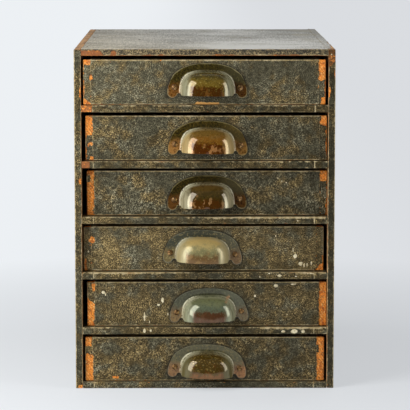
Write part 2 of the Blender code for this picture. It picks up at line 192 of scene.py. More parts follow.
def carcass_board(name, along, rusted):
    """A carcass board with its grain along one axis: brown inside, worn pale on its top edge, and with the
    ground at its front, rustier the higher rusted is. A side board is torn to dark fibres at its upper
    corner."""
    finish, tree, shader = new_finish(name)
    where = place_in_mm(tree)
    stretch = tuple(0.05 if axis == along else 1.0 for axis in "xyz")
    lines = grain(place_in_mm(tree, stretch), 0.5, 4, 0.6, 0.5)
    inside = blend_colours(step_between(lines, 0.3, 0.7), BARE_DARK, BARE_BROWN)
    patchy = step_between(grain(where, 0.14, 4, 0.65), 0.40, 0.60)
    worn_edge = blend_colours(patchy, EDGE_BROWN, EDGE_TAN)
    ground, relief = rubbed_ground(tree)
    rust = step_between(grain(where, 0.40, 4, 0.7), rusted + 0.04, rusted - 0.06)
    ground = blend_colours(product_of(rust, 0.90), ground, TORN_RED)
    if along == "y":
        torn = near_top(where, 26, 20)
        ground = blend_colours(product_of(torn, 0.45), ground, TORN_RED)
        net = step_between(grain(where, 0.75, 2, 0.6), 0.56, 0.48)
        ground = blend_colours(product_of(torn, net, 0.92), ground, TORN_BROWN)
        corner = near_top(where, 7.0, 4.5)
        ground = blend_colours(product_of(corner, 0.80), ground, TORN_BROWN)
    colour = blend_colours(near_top(where, 2.5, 0.6), inside, worn_edge)
    colour = blend_colours(near_front(where, 1.4, 0.3), colour, ground)
    feed(shader, {"Base Color": colour, "Roughness": 0.75, "Specular IOR Level": 0.2})
    raise_surface(shader, sum_of(lines, product_of(relief, 0.4)), 0.2 * MM)
    return finish


def dress(node, finish):
    """Give a CAD board its finish."""
    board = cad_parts[node]
    board.data.materials.clear()
    board.data.materials.append(finish)


side_wood = carcass_board("carcass side board", "y", 0.40)
cross_wood = carcass_board("carcass cross board", "x", 0.54)
rusty_wood = carcass_board("rusty cross board", "x", 0.61)
back_wood = aged_softwood("aged back board", "z", BARE_DARK, BARE_BROWN)
for node in ("left_side", "right_side"):
    dress(node, side_wood)
for node in ("top_board", "bottom_board", *(f"shelf_{number}" for number in SHELVES)):
    dress(node, rusty_wood if node in ("shelf_2", "top_board") else cross_wood)
dress("back_board", back_wood)

# Book cloth on the two sides: one sheet glued on each side board from its back edge round its front edge.
# It is dark and flaked to tan, rubbed pale along its folds and torn off in places, down to the ground.
CLOTH_THICKNESS = 0.22 * MM
GLUE = 0.04 * MM
LAPPED = CLOTH_THICKNESS + 2 * GLUE
FOLD_RADIUS = 0.8 * MM
FOLD_STEPS = 4
FOLD_WEAR = 0.9 * MM
REAR_TURN_IN = 3 * MM
INNER_INSET = 0.05 * MM
FOOT_GAP = 0.2 * MM
MERGED = 0.002 * MM
CLOTH_WEAR = (
    (0.00, (0.0150, 0.0120, 0.0050, 1)),
    (0.20, (0.0330, 0.0272, 0.0125, 1)),
    (0.40, (0.0660, 0.0550, 0.0300, 1)),
    (0.60, (0.1310, 0.1100, 0.0590, 1)),
    (0.80, (0.2500, 0.2150, 0.1290, 1)),
    (1.00, (0.4800, 0.4250, 0.2650, 1)),
)
CLOTH_COOL = (0.915, 0.985, 1.07, 1)
CLOTH_WARM = (1.12, 0.95, 0.67, 1)
CLOTH_SHINE = (1.0, 0.93, 0.78, 1)
CLOTH_TAN = (0.360, 0.272, 0.130, 1)
CLOTH_STRAW = (0.640, 0.530, 0.310, 1)
CLOTH_RUST = (0.300, 0.150, 0.055, 1)
# The near-black of dirt and of the painted contact shadow on the cloth round each pull.
CLOTH_GRIME_AND_SHADE = (0.012, 0.010, 0.006, 1)
LEFT_BARE = (
    ((-124.4, 293), (-121, 293), (-121, 302), (-123.8, 302)),
    ((-124.2, 207), (-121, 207), (-121, 212), (-124.2, 212)),
    ((-127.5, -2), (-121, -2), (-121, 3.6), (-126, 3.0)),
)
RIGHT_BARE = (
    ((121, 322), (126, 324), (131, 331), (131, 342), (121, 342)),
    ((121, 293), (124.2, 293), (124.2, 303), (121, 303)),
    ((128.3, 311), (131, 311), (131, 319), (128.3, 319)),
)


def ranged(value, low, high, at_low, at_high):
    """A straight run from one value at low to another at high, and no further."""
    inputs = {"Value": value, "From Min": low, "From Max": high, "To Min": at_low, "To Max": at_high}
    return add_node(value.id_data, "ShaderNodeMapRange", inputs)


def without_sign(value):
    return add_node(value.id_data, "ShaderNodeMath", {0: value}, operation="ABSOLUTE")


def tinted(colour, tint):
    inputs = {0: 1.0, 6: colour, 7: tint}
    return add_node(colour.id_data, "ShaderNodeMix", inputs, 2, data_type="RGBA", blend_type="MULTIPLY")


def kept_on_mesh(tree, layer):
    """A value that is kept at each point of a mesh."""
    return add_node(tree, "ShaderNodeAttribute", {}, "Fac", attribute_name=layer)


def graded(value, stops):
    """A colour from a scale of colours, each with its place from 0 to 1."""
    scale = value.id_data.nodes.new("ShaderNodeValToRGB")
    feed(scale, {0: value})
    marks = scale.color_ramp.elements
    for place, _ in stops[1:-1]:
        marks.new(place)
    for mark, (place, colour) in zip(marks, stops):
        mark.position = place
        mark.color = colour
    return scale.outputs[0]


def flaked_cloth(where, level, warm):
    """The colour of dark leathercloth, from soot to straw as it is rubbed, with strokes and pale dots. The
    colour of what is under it comes with it, and how rubbed each point is. level is how rubbed it is on the
    whole, and warm adds to what is brown rather than grey. It is also made darker towards the right, as
    painted shade."""
    fine = grain(where, 1.0, 2, 0.65)
    clumps = grain(where, 0.24, 4, 0.65, 0.4)
    zones = grain(where, 0.045, 4, 0.6)
    # Painted shade: the cloth is made darker towards the right, for light that falls from the left.
    shade_to_the_right = product_of(one_axis(place_in_mm(where.id_data), "X"), -0.00042)
    from_ridge = without_sign(sum_of(grain(where, 0.20, 3, 0.6, 0.9), -0.5))
    strokes = product_of(step_between(from_ridge, 0.013, 0.003), step_between(zones, 0.46, 0.60))
    dots = step_between(grain(where, 0.70, 1, 0.5, 0.3), 0.66, 0.72)
    flecks = product_of(sum_of(fine, -0.5), ranged(zones, 0.40, 0.60, 1.6, 3.15))
    weave = sum_of(flecks, product_of(clumps, 1.03), product_of(zones, 0.34))
    marks = sum_of(product_of(strokes, 0.24), product_of(dots, 0.25 + 2 * warm))
    rubbed = sum_of(weave, marks, shade_to_the_right, level - 0.73)
    brown = sum_of(product_of(grain(where, 0.08, 2, 0.5), 0.7), product_of(zones, 0.5), warm - 0.1)
    tint = blend_colours(step_between(brown, 0.41, 0.59), CLOTH_COOL, CLOTH_WARM)
    colour = tinted(graded(rubbed, CLOTH_WEAR), tint)
    rust = step_between(grain(where, 0.09, 4), 0.54, 0.66)
    bare = blend_colours(product_of(rust, 0.55), CLOTH_TAN, CLOTH_RUST)
    pale = step_between(grain(where, 0.33, 3), 0.50, 0.62)
    bare = blend_colours(product_of(pale, 0.60), bare, CLOTH_STRAW)
    return colour, bare, step_between(rubbed, 0.4, 0.9)


def worn_folds(where):
    """How far the folds and borders of a cloth are rubbed through, from the wear kept on its mesh."""
    uneven = sum_of(grain(where, 0.34, 4, 0.75), -0.5)
    fold = kept_on_mesh(where.id_data, "worn")
    return step_between(sum_of(fold, product_of(uneven, 2.0)), 0.46, 0.86)


def book_cloth(name, seed, level, warm):
    """Dark leathercloth, flaked all over, rubbed pale along its folds, and darkened round the pulls by dust
    and a painted contact shadow.
    """
    finish, tree, shader = new_finish(name)
    where = place_in_mm(tree, shift=(seed * 131, 0, 0))
    colour, bare, flaked = flaked_cloth(where, level, warm)
    edge = worn_folds(where)
    pale = step_between(grain(where, 0.15, 3), 0.44, 0.62)
    rubbed_edge = blend_colours(product_of(pale, 0.75), bare, CLOTH_STRAW)
    colour = blend_colours(product_of(edge, 0.85), colour, rubbed_edge)
    # Dirt and painted contact shadow round the pulls, as kept on the mesh.
    colour = blend_colours(kept_on_mesh(tree, "grime"), colour, CLOTH_GRIME_AND_SHADE)
    dull = step_between(sum_of(flaked, edge), 0.0, 0.8)
    feed(shader, {"Base Color": colour, "Roughness": ranged(dull, 0, 1, 0.46, 0.70)})
    feed(shader, {"Specular IOR Level": 0.28, "Specular Tint": CLOTH_SHINE})
    weave = product_of(grain(where, 3.5, 2, 0.5), 0.5)
    height = sum_of(weave, product_of(flaked, -0.8), product_of(edge, -0.4))
    raise_surface(shader, height, 0.16 * MM)
    return finish


def spaced(stops, steps):
    """Grid lines between stops, at about the given step between each pair."""
    lines = [stops[0]]
    for start, end, step in zip(stops, stops[1:], steps):
        count = max(1, math.ceil((end - start) / step - 1e-6))
        lines += [start + (end - start) * (index + 1) / count for index in range(count)]
    return lines


def folded_line(corners):
    """A line of straight runs with rounded folds: the length at each of its points, the points, and
    the length at the middle of each fold."""
    points = [Vector(corners[0])]
    middles = []
    for before, corner, after in zip(corners, corners[1:], corners[2:]):
        corner = Vector(corner)
        start = corner + (Vector(before) - corner).normalized() * FOLD_RADIUS
        end = corner + (Vector(after) - corner).normalized() * FOLD_RADIUS
        middles.append(len(points) + FOLD_STEPS // 2)
        for share in (step / FOLD_STEPS for step in range(FOLD_STEPS + 1)):
            points.append(start * (1 - share) ** 2 + corner * 2 * share * (1 - share) + end * share**2)
    points.append(Vector(corners[-1]))
    lengths = [0.0]
    for first, second in zip(points, points[1:]):
        lengths.append(lengths[-1] + (second - first).length)
    return lengths, points, [lengths[index] for index in middles]


def along_line(line, length):
    """The point at this length along a folded line."""
    lengths, points, _ = line
    after = min(max(bisect.bisect_right(lengths, length), 1), len(points) - 1)
    share = (length - lengths[after - 1]) / (lengths[after] - lengths[after - 1])
    return points[after - 1].lerp(points[after], min(max(share, 0), 1))


def fold_lines(line):
    """Grid lines that follow a folded line's bends."""
    return line[0][1:-1]


def ragged(seed, u, v, size):
    """An even wander from about -1 to 1, for torn and frayed edges of about this size."""
    return noise.fractal(Vector((u / size, v / size, seed * 7.31)), 0.9, 2.1, 4)


def outside_patch(u, v, corners):
    """Distance from a patch given by its corners in millimetres, anticlockwise: below zero inside it."""
    reach = -1.0
    for (x0, z0), (x1, z1) in zip(corners, corners[1:] + corners[:1]):
        run = math.hypot(x1 - x0, z1 - z0)
        reach = max(reach, ((u / MM - x0) * (z1 - z0) - (v / MM - z0) * (x1 - x0)) / run * MM)
    return reach


def torn_edge(seed, u, v):
    """How far a torn edge wanders: broad bites with a frayed edge."""
    return (1.25 * ragged(seed, u, v, 5.2 * MM) + 0.55 * ragged(seed + 0.5, u, v, 1.5 * MM)) * MM


def chipped(seed, u, v, distance, reach, rarity):
    """Small chips along a line at this distance: below zero inside a chip."""
    return (rarity + abs(distance) / reach - ragged(seed, u, v, 2.1 * MM)) * MM


def nearness(distance, reach):
    """1 on a line, falling away over about this reach from it."""
    return math.exp(-abs(distance) / reach)


def without_grime_and_shade(u, v):
    """A sheet with no dirt and no painted shade on it."""
    return 0.0


def mesh_of(name, bm):
    """A mesh of what was built, which is then let go."""
    mesh = bpy.data.meshes.new(name)
    bm.to_mesh(mesh)
    bm.free()
    return mesh


def add_object(name, data):
    """A new object in the scene."""
    made = bpy.data.objects.new(name, data)
    bpy.context.scene.collection.objects.link(made)
    return made


def trimmed_sheet(name, across, along, cover, lay, worn, grime=without_grime_and_shade):
    """A sheet on grid lines, cut away where cover(u, v) is below zero and then laid in place by lay(u, v).
    worn(u, v) says how rubbed each point is, and grime(u, v) how dark it is made by dirt and painted
    contact shadow, both from 0 to 1."""
    across, along = sorted(set(across)), sorted(set(along))
    columns, rows = len(across) - 1, len(along) - 1
    bm = bmesh.new()
    bmesh.ops.create_grid(bm, x_segments=columns, y_segments=rows, size=1)
    for vert in bm.verts:
        u = across[round((vert.co.x + 1) / 2 * columns)]
        v = along[round((vert.co.y + 1) / 2 * rows)]
        vert.co = (u, v, cover(u, v))
    everything = [*bm.verts, *bm.edges, *bm.faces]
    bmesh.ops.bisect_plane(
        bm, geom=everything, dist=1e-8, plane_co=(0, 0, 0), plane_no=(0, 0, 1), clear_inner=True
    )
    for layer in ("worn", "grime"):
        bm.verts.layers.float.new(layer)
    rubbed = bm.verts.layers.float["worn"]
    grime_and_shade_layer = bm.verts.layers.float["grime"]
    for vert in bm.verts:
        u, v = vert.co.x, vert.co.y
        vert[rubbed] = worn(u, v)
        vert[grime_and_shade_layer] = grime(u, v)
        vert.co = lay(u, v)
    bmesh.ops.remove_doubles(bm, verts=bm.verts, dist=MERGED)
    bmesh.ops.dissolve_degenerate(bm, edges=bm.edges, dist=MERGED)
    loose = [vert for vert in bm.verts if not vert.link_faces]
    bmesh.ops.delete(bm, geom=loose, context="VERTS")
    mesh = mesh_of(name, bm)
    mesh.shade_smooth()
    return add_object(name, mesh)


def glue_down(sheet, finish, body, flat, board):
    """Give a laid sheet its thickness and finish and fix it to a body. flat, the size that it was cut to, is
    not used.
    """
    cloth = sheet.modifiers.new("Cloth", "SOLIDIFY")
    cloth.thickness = CLOTH_THICKNESS
    cloth.offset = 1
    sheet.data.materials.append(finish)
    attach(sheet, body)
    left = sum(face.area for face in sheet.data.polygons)


def side_cover(node, hand, bare):
    """The cloth of one side, with hand -1 on the left and 1 on the right, and the size that it was cut to."""
    low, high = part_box(node)
    inner = (high.x if hand < 0 else low.x) + hand * INNER_INSET
    outer = (low.x if hand < 0 else high.x) + hand * GLUE
    front, rear = low.y - GLUE, high.y + GLUE
    corners = [(inner, front), (outer, front), (outer, rear), (outer - hand * REAR_TURN_IN, rear)]
    if hand < 0:
        corners.reverse()
    line = folded_line(corners)
    total = line[0][-1]
    front_fold, rear_fold = line[2] if hand > 0 else reversed(line[2])
    stops = [front_fold + hand * 3 * MM, front_fold + hand * 30 * MM, rear_fold - hand * 4 * MM]
    steps = [0.4 * MM, 2.5 * MM, 9 * MM, 0.8 * MM]
    if hand < 0:
        stops.reverse()
        steps.reverse()
    across = spaced([0, *stops, total], steps) + fold_lines(line)
    heights = [low.z + FOOT_GAP, low.z + 8 * MM, high.z - 24 * MM, high.z - FOOT_GAP]
    along = spaced(heights, [0.8 * MM, 1.6 * MM, 0.6 * MM])

    def from_inside(u):
        return u if hand > 0 else total - u

    def lay(u, v):
        point = along_line(line, u)
        return (point.x, point.y, v)

    def cover(u, v):
        point = along_line(line, u)
        keep = min(v - low.z - 0.3 * MM, high.z - 0.5 * MM - v) + 0.35 * MM * ragged(hand, u, v, 5 * MM)
        if point.y < front + 4 * MM:
            keep = min(keep, from_inside(u) + 0.30 * MM * ragged(5 + hand, u, v, 4 * MM))
            for patch in bare:
                keep = min(keep, outside_patch(point.x, v, patch) + torn_edge(3 + hand, u, v))
            inner_edge = from_inside(u) - 0.8 * MM
            keep = min(keep, chipped(7 + hand, u, v, inner_edge, 2.6 * MM, 0.62 + 0.10 * hand))
            keep = min(keep, chipped(8 + hand, u, v, u - front_fold, 2.6 * MM, 0.62))
        return keep

    def worn(u, v):
        folds = max(nearness(u - fold, FOLD_WEAR) for fold in line[2])
        ends = nearness(min(v - low.z, high.z - v), 1.2 * MM)
        return max(folds, ends, nearness(from_inside(u), FOLD_WEAR))

    return trimmed_sheet(f"{node}_cloth", across, along, cover, lay, worn), (total, high.z - low.z)


for node, hand, bare, level in (("left_side", -1, LEFT_BARE, 0.34), ("right_side", 1, RIGHT_BARE, 0.25)):
    sheet, flat = side_cover(node, hand, bare)
    glue_down(sheet, book_cloth(f"{node} book cloth", 2 + hand, level, 0.0), "carcass", flat, node)

# Book cloth on the top: one sheet over the top board and down its front edge, where the left end is torn to
# the ground. It lies between the two sides and is rubbed grey and dull by what was stood on it, and that grey
# is partly a painted sheen of the pale room seen at a grazing view. Its torn patches, paler and darker places
# and pin heads are listed in millimetres from the middle of the base.
TOP_BARE = (
    ((-123, 333), (-99, 333), (-101, 336.5), (-105, 339.2), (-123, 339.2)),
    ((-96, 333), (-88, 333), (-87.4, 336), (-89, 338.6), (-92, 337.4), (-94, 335.0)),
    ((-60, 333), (-40, 333), (-42, 335.0), (-58, 334.8)),
    ((5, 333), (38, 333), (36, 334.7), (8, 334.9)),
    ((66, 333), (96, 333), (93, 334.8), (70, 335.0)),
)
TOP_BAND = 13 * MM
TAPE_TORN = 9 * MM
TAPE_LAP = 1.4 * MM
TAPE_DOWN = 9 * MM
END_GAP = 0.25 * MM
PIN_HEADS = ((-67.8, -24, 3.4), (-117.5, -150, 1.8), (-117.0, 20, 1.8), (-117.2, 150, 1.8))
DOME_RINGS = (0.35, 0.62, 0.82, 0.94, 1.0)
DOME_SIDES = 18
IRON_DARK = (0.030, 0.024, 0.016, 1)
IRON_RUST = (0.130, 0.070, 0.030, 1)
TOP_SOOT = (0.016, 0.013, 0.007, 1)
TOP_DARK = (0.205, 0.172, 0.108, 1)
# The top's light grey is partly painted sheen of the pale room, seen at a grazing view.
TOP_SHEEN_GREY = (0.610, 0.540, 0.400, 1)
TOP_OLIVE = (0.330, 0.265, 0.140, 1)
TOP_WARM = (1.00, 0.97, 0.87, 1)
TOP_COOL = (1.00, 1.075, 1.27, 1)
TOP_PLACES = ((55, -140, 80, 120, 0.14), (130, 150, 90, 130, -0.09))


def top_cover():
    """The cloth of the top, from the foot of the top board's front edge to its back."""
    low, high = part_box("top_board")
    half = INSIDE_X - END_GAP
    front, upper = low.y - GLUE, high.z + GLUE
    line = folded_line([(front, low.z + FOOT_GAP), (front, upper), (high.y - 0.4 * MM, upper)])
    total, fold = line[0][-1], line[2][0]
    across = spaced([-half, -half + 30 * MM, half - 8 * MM, half], [0.6 * MM, 1.2 * MM, 0.6 * MM])
    stops = [0, fold + 3 * MM, fold + 20 * MM, total - 3 * MM, total]
    along = spaced(stops, [0.4 * MM, 2 * MM, 9 * MM, 0.8 * MM]) + fold_lines(line)

    def lay(u, v):
        point = along_line(line, v)
        return (u, point.x, point.y)

    def cover(u, v):
        point = along_line(line, v)
        keep = min(half - abs(u), total - v, v - 0.1 * MM) + 0.35 * MM * (ragged(11, u, v, 5 * MM) - 0.4)
        if v < fold + 2 * MM:
            for patch in TOP_BARE:
                keep = min(keep, outside_patch(u, point.y, patch) + torn_edge(12, u, v))
            keep = min(keep, chipped(13, u, v, v - fold, 1.8 * MM, 0.40))
        return keep

    def worn(u, v):
        ends = nearness(min(half - abs(u), total - v), 0.8 * MM)
        lap = 0.62 * nearness(u + half - TOP_BAND, 0.5 * MM) if v > fold else 0
        return max(0.7 * nearness(v - fold, FOLD_WEAR), nearness(v, 1.5 * MM), ends, lap)

    return trimmed_sheet("top_board_cloth", across, along, cover, lay, worn), (2 * half, total)


def distance_from(where, place, shares):
    """How far a point is from a place, with each axis taken by its share."""
    tree = where.id_data
    offset = add_node(tree, "ShaderNodeVectorMath", {0: where, 1: place}, operation="SUBTRACT")
    scaled = add_node(tree, "ShaderNodeVectorMath", {0: offset, 1: shares}, operation="MULTIPLY")
    return add_node(tree, "ShaderNodeVectorMath", {0: scaled}, "Value", operation="LENGTH")


def rubbed_top_cloth_with_sheen():
    """The top's cloth: grey and streaked where things were slid on it, the grey partly a painted sheen, and
    dark and flaked at its front.
    """
    finish, tree, shader = new_finish("top book cloth")
    here = place_in_mm(tree)
    where = place_in_mm(tree, shift=(262, 0, 0))
    flaked_colour, bare, flaked = flaked_cloth(where, 0.38, 0.10)
    streaks = grain(place_in_mm(tree, (0.35, 1, 1)), 0.07, 5, 0.70)
    fine = grain(place_in_mm(tree, (1, 0.07, 1)), 0.60, 4, 0.75)
    smears = grain(where, 0.012, 3)
    tone = sum_of(product_of(streaks, 0.26), product_of(fine, 0.47), product_of(smears, 0.34))
    for x, y, width, length, lift in TOP_PLACES:
        away = distance_from(here, (x, y, 0), (1 / width, 1 / length, 0))
        tone = sum_of(tone, product_of(step_between(away, 1.2, 0.2), lift))
    # Dark to light grey along the streaks; the light grey is partly painted sheen.
    grey = blend_colours(step_between(tone, 0.42, 0.665), TOP_DARK, TOP_SHEEN_GREY)
    stain = step_between(grain(where, 0.02, 4, 0.6), 0.52, 0.66)
    grey = blend_colours(product_of(stain, 0.6), grey, TOP_OLIVE)
    grey = blend_colours(product_of(flaked, 0.35), grey, bare)
    across = one_axis(here, "X")
    from_corner = sum_of(across, product_of(one_axis(here, "Y"), 0.2), 38)
    grey = tinted(grey, blend_colours(step_between(from_corner, -110, 60), TOP_WARM, TOP_COOL))
    specks = grain(where, 0.50, 3, 0.70)
    dark_specks = product_of(step_between(specks, 0.50, 0.43), 0.80)
    flaked_colour = blend_colours(dark_specks, flaked_colour, TOP_SOOT)
    gold_specks = product_of(step_between(specks, 0.525, 0.595), 0.80)
    flaked_colour = blend_colours(gold_specks, flaked_colour, CLOTH_TAN)
    sooty = product_of(near_top(here, 3.6, 1.8), step_between(across, -60, 60), 0.45)
    flaked_colour = blend_colours(sooty, flaked_colour, TOP_SOOT)
    behind_front = near_front(here, 0.5, 1.6)
    edge = worn_folds(where)
    colour = blend_colours(edge, blend_colours(behind_front, flaked_colour, grey), bare)
    polished = product_of(behind_front, ranged(tone, 0.44, 0.66, 0.55, 0.40))
    dull = product_of(sum_of(product_of(behind_front, -1), 1), 0.6)
    feed(shader, {"Base Color": colour, "Roughness": sum_of(polished, dull), "Specular IOR Level": 0.5})
    weave = product_of(grain(where, 3.5, 2, 0.5), 0.3)
    raise_surface(shader, sum_of(weave, product_of(flaked, -0.4), product_of(edge, -0.4)), 0.12 * MM)
    return finish


def top_edge_tape():
    """The tape from the edge of the top cloth over the right side's top edge and down it, torn off at the
    front corner and rubbed through along its fold."""
    low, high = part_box("right_side")
    outer = high.x + LAPPED
    upper = high.z + GLUE
    line = folded_line([(low.x - TAPE_LAP, upper), (outer, upper), (outer, upper - TAPE_DOWN)])
    total, fold = line[0][-1], line[2][0]
    front, rear = low.y + TAPE_TORN, high.y - 0.4 * MM
    across = spaced([0, total], [0.5 * MM]) + fold_lines(line)
    along = spaced([front - 5 * MM, front + 30 * MM, rear], [0.5 * MM, 1.0 * MM])

    def lay(u, v):
        point = along_line(line, u)
        lapped = LAPPED * min(max((low.x + 1 * MM - point.x) / MM, 0), 1)
        return (point.x, v, point.y + lapped)

    def cover(u, v):
        edge = min(u, total - u, rear - v) + 0.5 * MM * (ragged(81, u, v, 5 * MM) - 0.4)
        torn = v - front + 3.2 * MM * ragged(82, u, v, 7 * MM)
        rubbed_through = max(1 - (v - front) / (190 * MM), 0) * (2.6 + 7.0 * ragged(84, 0, v, 34 * MM)) * MM
        torn = min(torn, abs(u - fold) - rubbed_through + 0.4 * MM * ragged(85, u, v, 2 * MM))
        return min(edge, torn, chipped(83, u, v, u - fold, 7 * MM, 0.30))

    def worn(u, v):
        ends = nearness(min(u, total - u), 0.8 * MM)
        return max(nearness(u - fold, 1.2 * MM), 0.9 * ends, nearness(v - front, 2.5 * MM))

    return trimmed_sheet("right_side_top_tape", across, along, cover, lay, worn), (total, rear - front)


def low_dome(bm, middle, across, up, width, height, rise):
    """A low dome with an uneven outline, standing out of the plane of two directions. Its sizes are in
    millimetres."""
    outwards = across.cross(up)
    rings = []
    for share in DOME_RINGS:
        ring = []
        for step in range(DOME_SIDES):
            turn = 2 * math.pi * step / DOME_SIDES
            reach = share * (1 + 0.22 * ragged(middle.x / MM, math.cos(turn), math.sin(turn), 0.8))
            point = middle + across * (width / 2 * reach * math.cos(turn) * MM)
            point += up * (height / 2 * reach * math.sin(turn) * MM)
            ring.append(bm.verts.new(point + outwards * (rise * math.sqrt(1 - share**2) - 0.06 * share) * MM))
        rings.append(ring)
    tip = bm.verts.new(middle + outwards * rise * MM)
    for step in range(DOME_SIDES):
        after = (step + 1) % DOME_SIDES
        bm.faces.new((tip, rings[0][step], rings[0][after]))
        for inner, outer in zip(rings, rings[1:]):
            bm.faces.new((inner[step], outer[step], outer[after], inner[after]))


def finished_domes(name, bm, finish, body):
    """Turn domes into a piece with its finish that rides on a body."""
    mesh = mesh_of(name, bm)
    mesh.shade_smooth()
    mesh.materials.append(finish)
    made = add_object(name, mesh)
    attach(made, body)


def rusty_iron():
    finish, tree, shader = new_finish("rusty iron")
    rust = step_between(grain(place_in_mm(tree), 1.2, 4, 0.7), 0.42, 0.62)
    feed(shader, {"Base Color": blend_colours(rust, IRON_DARK, IRON_RUST), "Roughness": 0.65})
    raise_surface(shader, rust, 0.1 * MM)
    return finish


top_cloth = rubbed_top_cloth_with_sheen()
bm = bmesh.new()
for x, y, width in PIN_HEADS:
    middle = Vector((x * MM, y * MM, TOP_Z + GLUE + CLOTH_THICKNESS))
    low_dome(bm, middle, Vector((1, 0, 0)), Vector((0, 1, 0)), width, width, 0.45)
finished_domes("top_board_pin_heads", bm, rusty_iron(), "carcass")
sheet, flat = top_edge_tape()
glue_down(sheet, top_cloth, "carcass", flat, "right_side")
sheet, flat = top_cover()
glue_down(sheet, top_cloth, "carcass", flat, "top_board")

# Cloth tapes on the front edges of the shelves and the bottom: strips glued over each edge, a little way back
# on its top and underside, with a lap at each end. Two laps are lost on the left and show the ground, and the
# upper fold is rubbed palest along the runs listed, in millimetres from the middle.
TAPE_ON_TOP = 12 * MM
TAPE_BELOW = 5 * MM
LEFT_LAP = 11.5 * MM
RIGHT_LAP = 13.0 * MM
LAP_RISE = 0.20 * MM
LOST_LAPS = {1: 10.5, 2: 8.0}
PALE_RUNS = {"shelf_3": ((2, 120),), "shelf_4": ((-110, -40), (90, 121)), "shelf_5": ((55, 118),)}


def edge_tape(node, lost):
    """The tape of one shelf or of the bottom board. lost is the length torn off its left end, in mm."""
    low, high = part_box(node)
    half = INSIDE_X - END_GAP
    front = low.y - GLUE
    under, over = low.z - GLUE, high.z + GLUE
    corners = [(front + TAPE_BELOW, under), (front, under), (front, over), (front + TAPE_ON_TOP, over)]
    if node == "bottom_board":
        corners[0:2] = [(front, low.z + FOOT_GAP)]
    line = folded_line(corners)
    total = line[0][-1]
    lower = line[2][0] if len(line[2]) > 1 else 0
    upper = line[2][-1]
    across = spaced([-half, -half + 16 * MM, half - 16 * MM, half], [0.5 * MM, 1.2 * MM, 0.5 * MM])
    along = spaced([0, total], [0.8 * MM]) + fold_lines(line)
    seed = low.z / MM
    evenly_worn = 0.45 if node == "bottom_board" else 0.80

    def lay(u, v):
        point = along_line(line, v)
        past_lap = max(LEFT_LAP - half - u, u - half + RIGHT_LAP)
        raised = LAP_RISE * min(max(past_lap / (0.5 * MM) + 0.5, 0), 1) if lower < v < upper else 0
        return (u, point.x - raised, point.y)

    def cover(u, v):
        keep = min(half - abs(u), v, total - v) + 0.3 * MM * (ragged(seed, u, v, 4 * MM) - 0.4)
        if lost:
            keep = min(keep, u + half - lost * MM + 1.1 * MM * ragged(seed + 1, u, v, 3 * MM))
        keep = min(keep, chipped(seed + 2, u, v, v - upper, 1.6 * MM, 0.46))
        return min(keep, chipped(seed + 3, u, v, v - lower, 1.6 * MM, 0.46))

    def worn(u, v):
        pale = any(start < u / MM < end for start, end in PALE_RUNS.get(node, ()))
        rubbed = evenly_worn + 0.45 * ragged(seed + 4, u, 0, 16 * MM)
        rubbed += 0.75 * ragged(seed + 5, u, 0, 3.0 * MM)
        upper_fold = (rubbed + 0.6 * pale) * 0.95 * nearness(v - upper, (1.1 + 0.5 * pale) * MM)
        folds = max(upper_fold, rubbed * 0.70 * nearness(v - lower, 1.0 * MM))
        laps = max(nearness(u + half - LEFT_LAP, 0.8 * MM), nearness(half - RIGHT_LAP - u, 0.8 * MM))
        return max(folds, laps, 0.9 * nearness(half - abs(u), 0.8 * MM))

    return trimmed_sheet(f"{node}_tape", across, along, cover, lay, worn), (2 * half, total)


tape_cloth = book_cloth("edge tape book cloth", 3, 0.365, 0.02)
for number in SHELVES:
    sheet, flat = edge_tape(f"shelf_{number}", LOST_LAPS.get(number, 0))
    glue_down(sheet, tape_cloth, "carcass", flat, f"shelf_{number}")
sheet, flat = edge_tape("bottom_board", 0)
glue_down(sheet, book_cloth("bottom tape book cloth", 12, 0.42, -0.06), "carcass", flat, "bottom_board")

# Drawer boxes: thin softwood sides, back and bottom, unfinished and gone brown with age. The sides are lapped
# and glued into the front, and the bottom slides in grooves.
DRAWER_DARK = (0.255, 0.148, 0.066, 1)
DRAWER_LIGHT = (0.450, 0.288, 0.142, 1)
side_pine = aged_softwood("drawer side softwood", "y", DRAWER_DARK, DRAWER_LIGHT)
cross_pine = aged_softwood("drawer cross softwood", "x", DRAWER_DARK, DRAWER_LIGHT)
box_pieces = {"left_side": side_pine, "right_side": side_pine, "back": cross_pine, "bottom": cross_pine}
for number in DRAWERS:
    for piece, pine in box_pieces.items():
        dress(f"drawer_{number}_{piece}", pine)

# Drawer fronts: a board with the orange ground, a strip of book cloth round each end and a panel of it
# between them, turned over the top edge. The cloth is torn away in the places listed for each drawer, in
# millimetres from the lower left corner of its front.
STRIP_WIDTH = 8.6 * MM
PANEL_INSET = 7.1 * MM
PANEL_TURN_OVER = 8.4 * MM
STRIP_TURN_BACK = 8.4 * MM
OVER = 49
SCRATCH_WIDTH = 0.5 * MM
# How far the dirt and painted contact shadow reach from a pull, and their share below its lip, where the real
# shadow falls.
GRIME_AND_SHADE_REACH = 1.15 * MM
GRIME_AND_SHADE_BELOW_LIP = 0.35
EAR_RADIUS = 5.0 * MM
PULL_SQUARENESS = 2.35


def upright(x0, x1, z0, z1):
    """The corners of an upright rectangle, anticlockwise."""
    return ((x0, z0), (x1, z0), (x1, z1), (x0, z1))


